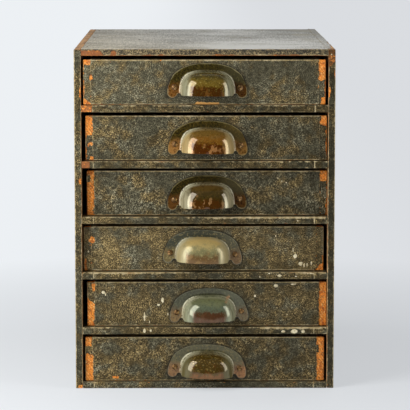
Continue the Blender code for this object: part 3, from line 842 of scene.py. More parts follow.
FRONT_BARE = {
    1: (
        upright(-2, 7, 39.5, OVER),
        ((-2, -2), (9, -2), (7, 3), (-2, 8)),
        upright(6, 8.8, 25.5, 30.5),
        upright(-2, 0.7, 8, 39),
        upright(232.6, 243, 24, OVER),
        upright(238.0, 243, 6, 26),
        ((232.6, -2), (243, -2), (243, 9), (236, 7)),
        upright(26.2, 27.4, 41.5, OVER),
        upright(76, 77.8, 43, OVER),
        upright(111, 134.5, -2, 2.7),
    ),
    2: (
        upright(-2, 6.8, 25, 43.5),
        upright(1.4, 3.6, 13, 16.5),
        upright(5.2, 7.2, 14.5, 18),
        upright(4.4, 7.4, 0.8, 4),
        upright(-2, 0.6, 0, 26),
        ((233.2, 36), (243, 33), (243, OVER), (233.2, OVER)),
        upright(238.6, 243, 4, 36),
    ),
    3: (
        upright(-2, 6.8, -2, 33),
        upright(-2, 6.8, 40, OVER),
        upright(3.4, 6.8, 32, 41),
        upright(232.6, 243, 34, OVER),
        upright(238.9, 243, -2, 36),
    ),
    4: (
        ((5.4, 30), (8.2, 27.4), (10.8, 29), (10.8, 33.4), (7.8, 34.6)),
        upright(0.4, 2.8, -2, 12.5),
        ((229.5, -2), (243, -2), (243, 9), (236, 7)),
        upright(238.3, 243, 6, 15),
    ),
    5: (
        ((-2, -2), (6.9, -2), (6.9, 22), (-2, 30)),
        upright(4.9, 7.2, 35, 42),
        upright(232.0, 243, -2, OVER),
    ),
    6: (
        upright(-2, 6, 35.5, 44),
        upright(0.2, 7.6, 0.4, 27.5),
        upright(232.0, 243, -2, 29),
        upright(234.4, 243, 28, 38),
        upright(232.0, 243, 37, OVER),
        upright(27, 33, 2.4, 4.4),
    ),
}
FRONT_SCRATCHES = {
    1: (((33, 40), (31, 36)), ((61, 39), (70, 33)), ((214, 30), (206, 21)), ((172, 20), (184, 13))),
    2: (((40, 36), (48, 22)), ((86, 40), (92, 30)), ((170, 12), (176, 4)), ((164, 13), (163, 5))),
    3: (((56.5, 43), (58, 26)), ((58, 26), (59.5, 8)), ((165, 40), (168, 32)), ((30, 30), (38, 24))),
    4: (((20, 38), (30, 30)), ((160, 40), (150, 33)), ((44, 18), (52, 9)), ((222, 30), (222, 12))),
    5: (((34, 40), (41, 35)), ((42, 14), (42.5, 4)), ((150, 24), (148, 8)), ((54, 9), (60, 9))),
    6: (((27, 3.4), (33, 3.4)), ((66, 30), (60, 20)), ((170, 33), (178, 30)), ((190, 18), (200, 12))),
}
GROUND_GOLD = (0.780, 0.430, 0.130, 1)
FRONT_RUBBED = {1: 0.485, 2: 0.42, 3: 0.46, 4: 0.525, 5: 0.445, 6: 0.44}
FRONT_WARM = {1: -0.05, 2: -0.03, 3: -0.04, 4: 0.06, 5: 0.05, 6: 0.03}


def front_board_finish():
    """The ground of the drawer fronts, handled to gold in the middle."""
    finish, tree, shader = new_finish("drawer front ground")
    colour, relief = rubbed_ground(tree)
    from_middle = without_sign(one_axis(place_in_mm(tree), "X"))
    handled = product_of(step_between(from_middle, 40, 25), 0.85)
    colour = blend_colours(handled, colour, GROUND_GOLD)
    feed(shader, {"Base Color": colour, "Roughness": 0.70, "Specular IOR Level": 0.25})
    raise_surface(shader, relief, 0.15 * MM)
    return finish


def front_cover(number, low, high):
    """What is left of the cloth at a point of a front, before its own border: u across, v up."""

    def cover(u, v):
        keep = 1.0
        rough = torn_edge(20 + number, u, v)
        for patch in FRONT_BARE[number]:
            keep = min(keep, outside_patch(u - low.x, v - low.z, patch) + rough)
        from_end = min(u - low.x, high.x - u)
        keep = min(keep, chipped(60 + number, u, v, from_end - 7.2 * MM, 3.0 * MM, 0.36))
        keep = min(keep, chipped(61 + number, u, v, from_end - 0.4 * MM, 2.4 * MM, 0.58))
        keep = min(keep, chipped(62 + number, u, v, v - low.z - 0.5 * MM, 2.2 * MM, 0.60))
        return min(keep, chipped(63 + number, u, v, high.z - v, 1.6 * MM, 0.48))

    return cover


def from_scratch(u, v, ends_in_mm):
    """Distance of a point of a front from a scratch between two points in millimetres."""
    point = Vector((u, v))
    start, end = (Vector(place) * MM for place in ends_in_mm)
    share = (point - start).dot(end - start) / (end - start).length_squared
    return (point - start.lerp(end, min(max(share, 0), 1))).length


def front_panel(number):
    """The middle panel of a drawer's front, which laps over the two end strips, with dirt and a painted
    contact shadow round the pull.
    """
    low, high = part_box(f"drawer_{number}_front")
    face, upper = low.y - GLUE, high.z + GLUE
    foot_z = low.z + FOOT_GAP
    left, right = low.x + PANEL_INSET, high.x - PANEL_INSET
    line = folded_line([(face, foot_z), (face, upper), (face + PANEL_TURN_OVER, upper)])
    total, fold = line[0][-1], line[2][0]
    across = spaced([left, left + 6 * MM, right - 6 * MM, right], [0.4 * MM, 1.3 * MM, 0.4 * MM])
    along = spaced([0, 5 * MM, fold - 6 * MM, total], [0.4 * MM, 1.3 * MM, 0.5 * MM]) + fold_lines(line)
    torn = front_cover(number, low, high)
    ear_tips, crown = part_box(f"drawer_{number}_pull")
    pull_middle = (ear_tips.x + crown.x) / 2
    pull_half = (crown.x - ear_tips.x) / 2
    pull_rise = crown.z - ear_tips.z - EAR_RADIUS

    def lay(u, v):
        point = along_line(line, v)
        from_end = min(u - left, right - u)
        lapped = LAPPED * min(max((3.5 * MM - from_end) / (1.5 * MM), 0), 1)
        wave = 0.02 * MM * ragged(40 + number, u, v, 14 * MM)
        if v < fold:
            return (u, point.x - lapped - wave, point.y)
        return (u, point.x, point.y + lapped)

    def cover(u, v):
        edge = min(u - left, right - u, v, total - v) + 0.3 * MM * (ragged(30 + number, u, v, 4 * MM) - 0.5)
        return min(edge, torn(u, foot_z + v)) if v < fold + 1 * MM else edge

    def worn(u, v):
        top = nearness(v - fold + 0.4 * MM, 1.0 * MM)
        foot = nearness(v - 0.3 * MM, 1.1 * MM)
        ends = nearness(min(u - left, right - u), 0.8 * MM)
        from_scratches = min(from_scratch(u - low.x, v, ends_in_mm) for ends_in_mm in FRONT_SCRATCHES[number])
        return max(top, foot, ends, 0.95 * nearness(from_scratches, SCRATCH_WIDTH))

    # Dirt and painted contact shadow: a dark ring round the pull's outline, weaker below its lip.
    def grime(u, v):
        height = foot_z + v - ear_tips.z
        across_pull = abs(u - pull_middle) / pull_half
        up_pull = max(height - EAR_RADIUS, 0) / pull_rise
        reach = (across_pull**PULL_SQUARENESS + up_pull**PULL_SQUARENESS) ** (1 / PULL_SQUARENESS)
        outside = max((reach - 1) * pull_half, -height, 0)
        share = min(max(height / EAR_RADIUS, GRIME_AND_SHADE_BELOW_LIP), 1)
        return share * nearness(outside, GRIME_AND_SHADE_REACH) if v < fold else 0

    name = f"drawer_{number}_panel_cloth"
    return trimmed_sheet(name, across, along, cover, lay, worn, grime), (right - left, total)


def front_strip(number, hand):
    """The cloth strip round one end of a drawer's front, with hand -1 on the left and 1 on the right."""
    low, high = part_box(f"drawer_{number}_front")
    face = low.y - GLUE
    end = (low.x if hand < 0 else high.x) + hand * GLUE
    corners = [(end - hand * STRIP_WIDTH, face), (end, face), (end, face + STRIP_TURN_BACK)]
    if hand < 0:
        corners.reverse()
    line = folded_line(corners)
    total, fold = line[0][-1], line[2][0]
    across = spaced([0, total], [0.4 * MM]) + fold_lines(line)
    along = spaced([low.z + 0.1 * MM, high.z - 0.1 * MM], [0.5 * MM])
    torn = front_cover(number, low, high)

    def lay(u, v):
        point = along_line(line, u)
        return (point.x, point.y, v)

    def cover(u, v):
        point = along_line(line, u)
        edge = min(u, total - u, v - low.z - 0.15 * MM, high.z - 0.25 * MM - v)
        edge += 0.25 * MM * (ragged(50 + number * hand, u, v, 4 * MM) - 0.5)
        return min(edge, torn(point.x, v)) if point.y < face + 1.2 * MM else edge

    def worn(u, v):
        ends = 0.9 * nearness(min(v - low.z, high.z - v), 0.8 * MM)
        return max(nearness(u - fold, 1.1 * MM), ends)

    side = "left" if hand < 0 else "right"
    name = f"drawer_{number}_{side}_strip_cloth"
    return trimmed_sheet(name, across, along, cover, lay, worn), (total, high.z - low.z)


front_ground = front_board_finish()
for number in DRAWERS:
    board = f"drawer_{number}_front"
    dress(board, front_ground)
    rubbed, warm = FRONT_RUBBED[number], FRONT_WARM[number]
    front_cloth = book_cloth(f"drawer {number} book cloth", 3 + number, rubbed, warm)
    for sheet, flat in (front_panel(number), front_strip(number, -1), front_strip(number, 1)):
        glue_down(sheet, front_cloth, f"drawer_{number}", flat, board)

# Drops of pale paint that were splashed on the front in use: small domes and runs, each stuck to the cloth
# of the drawer, shelf or side that it fell on. Each has its place from the middle of the base at rest, across
# and up, and then its width, height and rise, in millimetres.
PAINT_CREAM = (0.800, 0.720, 0.500, 1)
PAINT_OLD = (0.520, 0.430, 0.240, 1)
PAINT_DROPS = {
    "right_side": ((125.0, 335.1, 1.2, 1.2, 0.2),),
    "drawer_3_front": ((73, 211, 1.2, 1.2, 0.2), (77, 208, 1.0, 1.3, 0.2), (81.5, 206.5, 1.3, 1.0, 0.2)),
    "shelf_3": ((92.5, 169.6, 1.6, 1.4, 0.25),),
    "drawer_4_front": (
        (88.4, 139, 0.9, 5.0, 0.15), (90.6, 132.6, 3.6, 4.2, 0.45), (96.0, 125.0, 4.2, 3.8, 0.25),
        (99.6, 123.4, 1.6, 4.0, 0.2), (102.6, 124.0, 1.4, 3.2, 0.2), (106.8, 125.4, 1.3, 4.6, 0.25),
        (-116.3, 137.6, 1.6, 1.8, 0.25), (71.0, 153, 1.0, 2.4, 0.15),
    ),
    "shelf_4": (
        (74.5, 114.4, 4.0, 3.0, 0.4), (64.5, 116.6, 2.4, 1.3, 0.2), (91, 113.6, 2.0, 1.2, 0.2),
        (108, 116.4, 9.0, 0.9, 0.15), (115.6, 116.6, 6.0, 0.8, 0.15), (55, 113.0, 1.6, 1.0, 0.15),
    ),
    "drawer_5_front": (
        (71.3, 103.0, 4.4, 3.6, 0.5), (88.6, 104.6, 5.4, 1.6, 0.3), (-101.5, 96.4, 3.6, 3.0, 0.3),
        (-99.4, 94.4, 1.4, 3.0, 0.2), (-42.2, 88.6, 2.6, 5.6, 0.35), (-46.2, 83.6, 3.0, 2.2, 0.35),
        (-60.4, 71.6, 1.7, 9.0, 0.25), (-55.4, 66.4, 1.0, 3.0, 0.2), (-36.8, 74.4, 1.1, 3.2, 0.25),
        (50.4, 92.6, 2.0, 2.8, 0.15), (-110.0, 87.0, 1.8, 2.2, 0.2), (82.6, 73.6, 1.2, 1.2, 0.2),
    ),
    "shelf_5": (
        (78.6, 57.8, 4.2, 2.6, 0.35), (89.6, 57.9, 6.8, 4.4, 0.6), (98.6, 57.8, 3.6, 3.2, 0.4),
        (-60.3, 58.6, 2.8, 4.2, 0.4), (-54.0, 58.8, 2.2, 2.6, 0.25),
    ),
}


def old_paint():
    finish, tree, shader = new_finish("old cream paint")
    where = place_in_mm(tree)
    grime = step_between(grain(where, 0.6, 4, 0.65), 0.40, 0.60)
    feed(shader, {"Base Color": blend_colours(grime, PAINT_OLD, PAINT_CREAM), "Roughness": 0.5})
    raise_surface(shader, grain(where, 2.0, 3), 0.06 * MM)
    return finish


cream_paint = old_paint()
for node, drops in PAINT_DROPS.items():
    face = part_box(node)[0].y - GLUE - CLOTH_THICKNESS
    bm = bmesh.new()
    for x, z, width, height, rise in drops:
        middle = Vector((x * MM, face, z * MM))
        low_dome(bm, middle, Vector((1, 0, 0)), Vector((0, 0, 1)), width, height, rise)
    body = node.removesuffix("_front") if node.startswith("drawer") else "carcass"
    finished_domes(f"{node}_paint_drops", bm, cream_paint, body)

# Cup pulls: a hood and its flange pressed from one sheet of brass, once lacquered, each stained its own way,
# with highlights and reflections painted into the stain as well.
# Two ears hang below the lip and take the screws that hold the pull to the drawer's front.
PULL_WIDTH = 79 * MM
PULL_TOP = 31 * MM
PULL_PROJECTION = 23.5 * MM
PULL_SHEET = 0.9 * MM
HOOD_WIDTH = 53 * MM
HOOD_HEIGHT = 23.5 * MM
HOOD_SQUARENESS = 3.05
HOOD_FULLNESS = 2.5
FOOT_ROUND = 2.0 * MM
EAR_DROP = 3.2 * MM
EAR_X = PULL_WIDTH / 2 - EAR_RADIUS
EAR_Z = EAR_RADIUS - EAR_DROP
NOTCH_RADIUS = 2.4 * MM
NOTCH_Z = 1.6 * MM - NOTCH_RADIUS
NOTCH_X = EAR_X - math.sqrt((EAR_RADIUS + NOTCH_RADIUS) ** 2 - (EAR_Z - NOTCH_Z) ** 2)
TOUCH_X = NOTCH_X + (EAR_X - NOTCH_X) * NOTCH_RADIUS / (EAR_RADIUS + NOTCH_RADIUS)
SCREW_RISE = 7.2 * MM
FLANGE_SHARE = 0.27
PULL_EDGE_ROUND = 0.22 * MM
OUTLINE_SCALE = 34 * MM


def squared_reach(angle, half_width, height, squareness):
    """Distance from the middle of a squared ellipse to its edge, at an angle."""
    across = abs(math.cos(angle)) / half_width
    upward = abs(math.sin(angle)) / height
    return (across**squareness + upward**squareness) ** (-1 / squareness)


def pressed_point(turn, ring, seed):
    """A point of the pressing's face. turn runs over the hood from left to right, from 0 to pi, and ring
    from the crown at 0 to the hood's foot at 1, the flange at 2 and the edge of the blank at 3."""
    angle = math.pi - turn
    foot = PULL_SHEET + FOOT_ROUND
    reach = squared_reach(angle, HOOD_WIDTH / 2, HOOD_HEIGHT, HOOD_SQUARENESS)
    drop = 0
    if ring <= 1:
        slope = ring * math.pi / 2
        reach *= math.sin(slope) ** (2 / HOOD_FULLNESS)
        height = foot + (PULL_PROJECTION - foot) * max(math.cos(slope), 0) ** (2 / HOOD_FULLNESS)
        dent = ragged(70 + seed, reach * math.cos(angle), reach * math.sin(angle), 13 * MM)
        height += 0.10 * MM * dent * math.cos(slope)
    elif ring <= 2:
        bend = (ring - 1) * math.pi / 2
        reach += FOOT_ROUND * (1 - math.cos(bend))
        height = foot - FOOT_ROUND * math.sin(bend)
    else:
        out = ring - 2
        reach = (reach + FOOT_ROUND) * (1 - out) + PULL_WIDTH * out
        drop = PULL_WIDTH * (1 - math.sin(angle)) * out
        height = PULL_SHEET
    return (reach * math.cos(angle), -height, reach * math.sin(angle) - drop)


def inside_outline(x, z):
    """How far inside the pull's outline a point is: a squared arch, two round ears and a notch by each."""
    x = abs(x)
    if z >= EAR_Z:
        across = x / (PULL_WIDTH / 2)
        upward = (z - EAR_Z) / (PULL_TOP - EAR_Z)
        reach = (across**PULL_SQUARENESS + upward**PULL_SQUARENESS) ** (1 / PULL_SQUARENESS)
        return (1 - reach) * OUTLINE_SCALE
    if x > TOUCH_X:
        return EAR_RADIUS - math.hypot(x - EAR_X, z - EAR_Z)
    if z >= NOTCH_Z:
        return math.hypot(x - NOTCH_X, z - NOTCH_Z) - NOTCH_RADIUS
    return NOTCH_X - NOTCH_RADIUS - x


def cup_pull(name, seed):
    """The face of one pressing, with its own small dents, cut to the pull's outline."""
    degrees = spaced([0, 22, 158, 180], [1.3, 2.6, 1.3])
    across = [math.radians(degree) for degree in degrees]
    along = spaced([0, 0.90, 1, 2, 2 + FLANGE_SHARE], [0.045, 0.025, 0.2, 0.0125])

    def lay(turn, ring):
        return pressed_point(turn, ring, seed)

    def cover(turn, ring):
        x, _, z = pressed_point(turn, ring, seed)
        return inside_outline(x, z)

    def worn(turn, ring):
        x, _, z = pressed_point(turn, ring, seed)
        return nearness(inside_outline(x, z), 1.1 * MM)

    return trimmed_sheet(name, across, along, cover, lay, worn)


# The pale of the painted highlight along the hood's foot and lower wall.
CREST_HIGHLIGHT = (0.660, 0.630, 0.420, 1)
SCUFF_TAN = (0.500, 0.270, 0.120, 1)
FLANGE_SOOT = (0.008, 0.007, 0.002, 1)
LACQUER_SHINE = (1.0, 0.95, 0.85, 1)
PULL_SCUFFS = {5: ((19.2, 21.6, 2.6), (17.4, 19.0, 1.8))}
STAIN_COLOURS = "flange left_ear right_ear crown middle lower ends blotch fleck rim_edge"
Stain = namedtuple("Stain", STAIN_COLOURS + " line haze streaked")
PULL_STAINS = {
    1: Stain(
        (0.046, 0.034, 0.006, 1), (0.240, 0.098, 0.022, 1), (0.105, 0.040, 0.008, 1),
        (0.058, 0.042, 0.006, 1), (0.170, 0.108, 0.012, 1), (0.066, 0.020, 0.001, 1),
        (0.310, 0.305, 0.190, 1), (0.200, 0.085, 0.016, 1), (0.400, 0.310, 0.070, 1),
        (0.420, 0.360, 0.180, 1), 11.5, 0.05, 0.55,
    ),
    2: Stain(
        (0.042, 0.030, 0.005, 1), (0.430, 0.205, 0.055, 1), (0.310, 0.155, 0.038, 1),
        (0.190, 0.108, 0.022, 1), (0.200, 0.082, 0.006, 1), (0.080, 0.020, 0.001, 1),
        (0.470, 0.345, 0.140, 1), (0.500, 0.235, 0.075, 1), (0.300, 0.180, 0.030, 1),
        (0.380, 0.310, 0.130, 1), 11.5, 0.06, 0.12,
    ),
    3: Stain(
        (0.033, 0.023, 0.003, 1), (0.150, 0.060, 0.013, 1), (0.112, 0.046, 0.010, 1),
        (0.108, 0.062, 0.014, 1), (0.050, 0.030, 0.003, 1), (0.070, 0.022, 0.001, 1),
        (0.400, 0.360, 0.215, 1), (0.430, 0.230, 0.085, 1), (0.100, 0.066, 0.011, 1),
        (0.340, 0.280, 0.120, 1), 10.5, 0.04, 0.40,
    ),
    4: Stain(
        (0.040, 0.043, 0.025, 1), (0.160, 0.122, 0.042, 1), (0.205, 0.112, 0.042, 1),
        (0.600, 0.430, 0.150, 1), (0.230, 0.215, 0.095, 1), (0.165, 0.090, 0.030, 1),
        (0.450, 0.370, 0.185, 1), (0.300, 0.175, 0.060, 1), (0.420, 0.330, 0.130, 1),
        (0.210, 0.205, 0.140, 1), 10.5, 0.23, 0.08,
    ),
    5: Stain(
        (0.042, 0.043, 0.019, 1), (0.200, 0.115, 0.028, 1), (0.150, 0.100, 0.036, 1),
        (0.170, 0.180, 0.082, 1), (0.110, 0.132, 0.078, 1), (0.094, 0.036, 0.013, 1),
        (0.340, 0.345, 0.210, 1), (0.130, 0.058, 0.024, 1), (0.150, 0.160, 0.085, 1),
        (0.140, 0.140, 0.095, 1), 11.5, 0.09, 0.45,
    ),
    6: Stain(
        (0.078, 0.071, 0.028, 1), (0.250, 0.120, 0.038, 1), (0.350, 0.145, 0.042, 1),
        (0.070, 0.040, 0.005, 1), (0.072, 0.040, 0.005, 1), (0.195, 0.080, 0.022, 1),
        (0.140, 0.122, 0.046, 1), (0.110, 0.036, 0.005, 1), (0.480, 0.330, 0.090, 1),
        (0.160, 0.148, 0.088, 1), 6.0, 0.07, 0.50,
    ),
}


def larger_of(*values):
    return joined("MAXIMUM", values)


def stained_brass_with_painted_light(name, seed, stain):
    """Old brass under worn lacquer, with painted light on it. A stain has the colours of the flange, the two
    ears, the hood from its crown down, the hood's ends, the blotches on its lower part, the flecks and the
    edge. The pale ends are partly patina and partly a painted reflection of the pale room, and the pale line
    along the edge, a pale ridge round the hood's foot, brightest on the left, and a pale shoulder are painted
    highlights. line is the height where the lower part begins, in millimetres, haze is how dull the lacquer
    is, and streaked is how streaked the ends are."""
    finish, tree, shader = new_finish(name)
    haze = stain.haze
    where = place_in_mm(tree)
    drift = place_in_mm(tree, shift=(seed * 57, 0, 0))
    broad = sum_of(grain(drift, 0.16, 4, 0.6), -0.5)
    fine = grain(drift, 0.55, 4, 0.7)
    uneven = sum_of(fine, -0.5)
    across = one_axis(where, "X")
    from_middle = without_sign(across)
    height = sum_of(one_axis(where, "Z"), product_of(broad, 14), product_of(uneven, 12))
    out = product_of(one_axis(where, "Y"), -1)

    hood = blend_colours(step_between(height, 14.5 - 15 * haze, 19.5 + 15 * haze), stain.middle, stain.crown)
    inside_ends = step_between(sum_of(from_middle, product_of(uneven, 8)), 18.0, 14.5)
    below_line = step_between(height, stain.line + 10 * haze, stain.line - 3 - 10 * haze)
    hood = blend_colours(product_of(below_line, inside_ends), hood, stain.lower)
    drips = grain(place_in_mm(tree, (1, 1, 0.6), (seed * 31, 0, 0)), 0.18, 5, 0.65)
    spots = product_of(step_between(drips, 0.555, 0.595), step_between(height, 14, 9))
    hood = blend_colours(product_of(spots, 0.65), hood, stain.blotch)
    tarnish = step_between(grain(drift, 0.40, 4, 0.7), 0.48, 0.37)
    hood = blend_colours(product_of(tarnish, 0.65 - 2.5 * haze), hood, stain.flange)
    specks = product_of(step_between(grain(drift, 0.55, 4, 0.70), 0.555, 0.635), 0.65)
    hood = blend_colours(product_of(specks, ranged(height, 6, 13, 0.25, 1)), hood, stain.fleck)
    # Painted reflection, partly patina: past the lamp streaks the hood's ends are made pale, as the pale room
    # seen in them, broken by darker streaks.
    streaks = grain(place_in_mm(tree, (1, 1, 0.12), (seed * 43, 0, 0)), 0.35, 3, 0.6)
    past_end = step_between(sum_of(from_middle, product_of(streaks, 9)), 19.0, 25.0)
    hood = blend_colours(product_of(past_end, 0.85), hood, stain.ends)
    bands = grain(place_in_mm(tree, (1, 1, 0.10), (seed * 77, 0, 0)), 0.45, 2)
    bands = product_of(step_between(bands, 0.48, 0.62), past_end, stain.streaked)
    hood = blend_colours(bands, hood, stain.flange)
    # Painted highlight: a pale, patchy band along the hood's shoulder.
    shoulder = product_of(step_between(out, 3.0, 6.0), step_between(out, 13.0, 9.0))
    patchy = step_between(sum_of(fine, product_of(broad, 0.8)), 0.34, 0.58)
    hood = blend_colours(product_of(shoulder, patchy, 0.50), hood, stain.ends)

    from_ear = without_sign(sum_of(from_middle, -EAR_X / MM))
    from_ear = larger_of(from_ear, sum_of(height, -EAR_Z / MM))
    ear = blend_colours(step_between(across, -2, 2), stain.left_ear, stain.right_ear)
    ear = blend_colours(product_of(step_between(fine, 0.52, 0.38), 0.6), ear, stain.lower)
    rim = blend_colours(step_between(from_ear, 14, 4), stain.flange, ear)
    rim = blend_colours(product_of(step_between(fine, 0.50, 0.66), 0.20), rim, stain.crown)
    soot = product_of(step_between(fine, 0.50, 0.36), 0.55 - 2 * haze)
    rim = blend_colours(soot, rim, FLANGE_SOOT)
    rim = blend_colours(product_of(specks, 0.30), rim, stain.fleck)
    rubbed = product_of(step_between(across, 8, 24), step_between(from_ear, 4, 14), 0.10)
    rim = blend_colours(rubbed, rim, stain.ends)
    colour = blend_colours(step_between(out, 1.2, 3.0), rim, hood)

    # Painted highlight: a pale band along the hood's foot and lower wall, brightest on the lit left side and
    # at the shoulders, broken up by noise.
    lit_side = ranged(across, -16, 12, 0.95, 0.55)
    crest_highlight = product_of(step_between(out, 0.9, 1.7), step_between(out, 14.0, 7.0), lit_side)
    crest_breakup = step_between(sum_of(fine, broad), 0.28, 0.52)
    crest_highlight = product_of(crest_highlight, ranged(from_middle, 5, 17, 0.15, 1.0), 1 - 2 * haze, crest_breakup)
    colour = blend_colours(crest_highlight, colour, CREST_HIGHLIGHT)
    for x, z, reach in PULL_SCUFFS.get(seed, ()):
        away = sum_of(distance_from(where, (x, 0, z), (1, 0, 1)), product_of(uneven, 8))
        scuff = product_of(step_between(away, reach, reach - 1.8), 0.65)
        colour = blend_colours(scuff, colour, SCUFF_TAN)
    # Painted highlight: a pale line along the flange's outer edge, as the rounded edge catching light.
    edge = sum_of(kept_on_mesh(tree, "worn"), product_of(broad, 1.4))
    edge = product_of(step_between(edge, 0.40, 0.80), 0.60)
    colour = blend_colours(edge, colour, stain.rim_edge)

    feed(shader, {"Base Color": colour, "Roughness": sum_of(product_of(fine, 0.06), haze)})
    feed(shader, {"Metallic": 0.22, "IOR": 1.7, "Specular Tint": LACQUER_SHINE})
    raise_surface(shader, fine, 0.02 * MM)
    return finish


pull_places = {}
for number in DRAWERS:
    ends = []
    for side in ("left", "right"):
        low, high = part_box(f"drawer_{number}_{side}_screw")
        ends.append((low + high) / 2)
    run = ends[1] - ends[0]
    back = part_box(f"drawer_{number}_pull")[1].y
    tip = Matrix.Rotation(-math.atan2(run.z, run.x), 4, "Y")
    middle = (ends[0] + ends[1]) / 2 - tip @ Vector((0, 0, SCREW_RISE))
    pull_places[number] = Matrix.Translation((middle.x, back, middle.z)) @ tip
    pull = cup_pull(f"drawer_{number}_brass_pull", number)
    pull.matrix_world = pull_places[number]
    wall = pull.modifiers.new("Sheet brass", "SOLIDIFY")
    wall.thickness = PULL_SHEET
    wall.offset = -1
    wall.use_even_offset = True
    soften = pull.modifiers.new("Softened edges", "BEVEL")
    soften.width = PULL_EDGE_ROUND
    soften.segments = 2
    soften.limit_method = "ANGLE"
    soften.angle_limit = math.radians(50)
    pull.data.materials.append(stained_brass_with_painted_light(f"pull {number} stained brass", number, PULL_STAINS[number]))
    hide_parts(f"drawer_{number}_pull")
    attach(pull, f"drawer_{number}")

# Pull screws: round-headed brass wood screws with a straight slot, two to a pull, driven by hand, so that
# each slot stands at its own angle. The head sits on the ear and the shank goes into the front.
HEAD_RADIUS = 2.9 * MM
HEAD_HEIGHT = 1.9 * MM
SHANK_RADIUS = 1.2 * MM
SHANK_LENGTH = 7.5 * MM
SLOT_WIDTH = 0.8 * MM
SLOT_DEPTH = 0.9 * MM
HEAD_SIDES = 36
HEAD_STEPS = 8
POINT_LENGTH = 2.5 * MM
BRASS_DARK = (0.120, 0.060, 0.020, 1)
BRASS_LIGHT = (0.420, 0.250, 0.100, 1)
SLOT_TURNS = {1: (88, 82), 2: (40, 105), 3: (12, 95), 4: (150, 60), 5: (35, 130), 6: (75, 110)}


def round_head():
    """Half of the screw's section, from the top of its head down to its point, turned into a solid."""
    section = []
    for step in range(HEAD_STEPS + 1):
        bend = math.pi / 2 * step / HEAD_STEPS
        section.append((HEAD_RADIUS * math.sin(bend), HEAD_HEIGHT * math.cos(bend)))
    section += [(SHANK_RADIUS, 0), (SHANK_RADIUS, POINT_LENGTH - SHANK_LENGTH), (0, -SHANK_LENGTH)]
    bm = bmesh.new()
    verts = [bm.verts.new((radius, -height, 0)) for radius, height in section]
    edges = [bm.edges.new(pair) for pair in zip(verts, verts[1:])]
    bmesh.ops.spin(
        bm, geom=[*verts, *edges], cent=(0, 0, 0), axis=(0, 1, 0), angle=2 * math.pi, steps=HEAD_SIDES
    )
    bmesh.ops.remove_doubles(bm, verts=bm.verts, dist=1e-6)
    bmesh.ops.recalc_face_normals(bm, faces=bm.faces)
    return mesh_of("pull_screw", bm)


def slot_cutter():
    """A bar as wide as the slot, from its floor to well above the head."""
    bm = bmesh.new()
    bmesh.ops.create_cube(bm, size=1)
    for vert in bm.verts:
        height = 2 * HEAD_HEIGHT if vert.co.y < 0 else HEAD_HEIGHT - SLOT_DEPTH
        vert.co = (vert.co.x * 3 * HEAD_RADIUS, -height, vert.co.z * SLOT_WIDTH)
    return mesh_of("slot_cutter", bm)


def slotted_screw():
    """The screw's mesh with its slot cut, from a head and a cutter that are thrown away."""
    head = add_object("pull_screw", round_head())
    cutter = add_object("slot_cutter", slot_cutter())
    slot = head.modifiers.new("Slot", "BOOLEAN")
    slot.operation = "DIFFERENCE"
    slot.object = cutter
    slot.solver = "EXACT"
    bpy.context.view_layer.update()
    cut = bpy.data.meshes.new_from_object(head.evaluated_get(bpy.context.evaluated_depsgraph_get()))
    bpy.data.objects.remove(head)
    bpy.data.objects.remove(cutter)
    cut.shade_smooth()
    return cut


def screw_finish():
    finish, tree, shader = new_finish("screw brass")
    where = place_in_mm(tree)
    stain = step_between(grain(where, 0.5, 4), 0.40, 0.62)
    feed(shader, {"Base Color": blend_colours(stain, BRASS_DARK, BRASS_LIGHT), "Metallic": 0.8})
    feed(shader, {"Roughness": ranged(stain, 0, 1, 0.38, 0.24)})
    raise_surface(shader, grain(where, 1.6, 3), 0.04 * MM)
    return finish


screw_mesh = slotted_screw()
screw_mesh.materials.clear()
screw_mesh.materials.append(screw_finish())
for number in DRAWERS:
    run = pull_places[number].to_3x3()
    for side, slot_turn in zip(("left", "right"), SLOT_TURNS[number]):
        node = f"drawer_{number}_{side}_screw"
        low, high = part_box(node)
        screw = add_object(f"drawer_{number}_{side}_brass_screw", screw_mesh)
        middle = (low + high) / 2
        place = Matrix.Translation((middle.x, low.y + HEAD_HEIGHT, middle.z))
        screw.matrix_world = place @ run.to_4x4() @ Matrix.Rotation(math.radians(slot_turn), 4, "Y")
        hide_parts(node)
        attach(screw, f"drawer_{number}")

# Floor, light and camera: a wide pale floor with a large soft lamp on each side and a dim room behind the
# camera. The camera looks slightly down at the front, as in the photograph.
PALE_LEFT = (0.845, 0.875, 0.905, 1)
PALE_RIGHT_SHADED = (0.700, 0.720, 0.750, 1)
FLOOR_COLOUR = (0.80, 0.82, 0.84, 1)
FLOOR_FRONT_Y = -1.15
FLOOR_HALF = 40
FLOOR_DROP = 0.1 * MM
LAMP_AIM = (0, -0.19, 0.17)
LAMP_HEIGHT = 0.90
LAMPS = {
    "left lamp": ((-0.54, -0.61, 0.46), 0.40, 6.6, -11),
    "right lamp": ((0.82, -0.57, 0.46), 0.34, 3.6, 11),
}
ROOM_LEFT = (0.70, 0.71, 0.72, 1)
ROOM_RIGHT = (0.36, 0.365, 0.37, 1)
ROOM_BEHIND = (0.05, 0.05, 0.05, 1)
ROOM_ABOVE = (0.14, 0.14, 0.14, 1)
CAMERA_PLACE = (-14.8 * MM, -2435.5 * MM, 477.5 * MM)
CAMERA_PITCH = 0.1293
CAMERA_YAW = 0.0067
IMAGE_PIXELS = 410
FOCAL_PIXELS = 2278.4


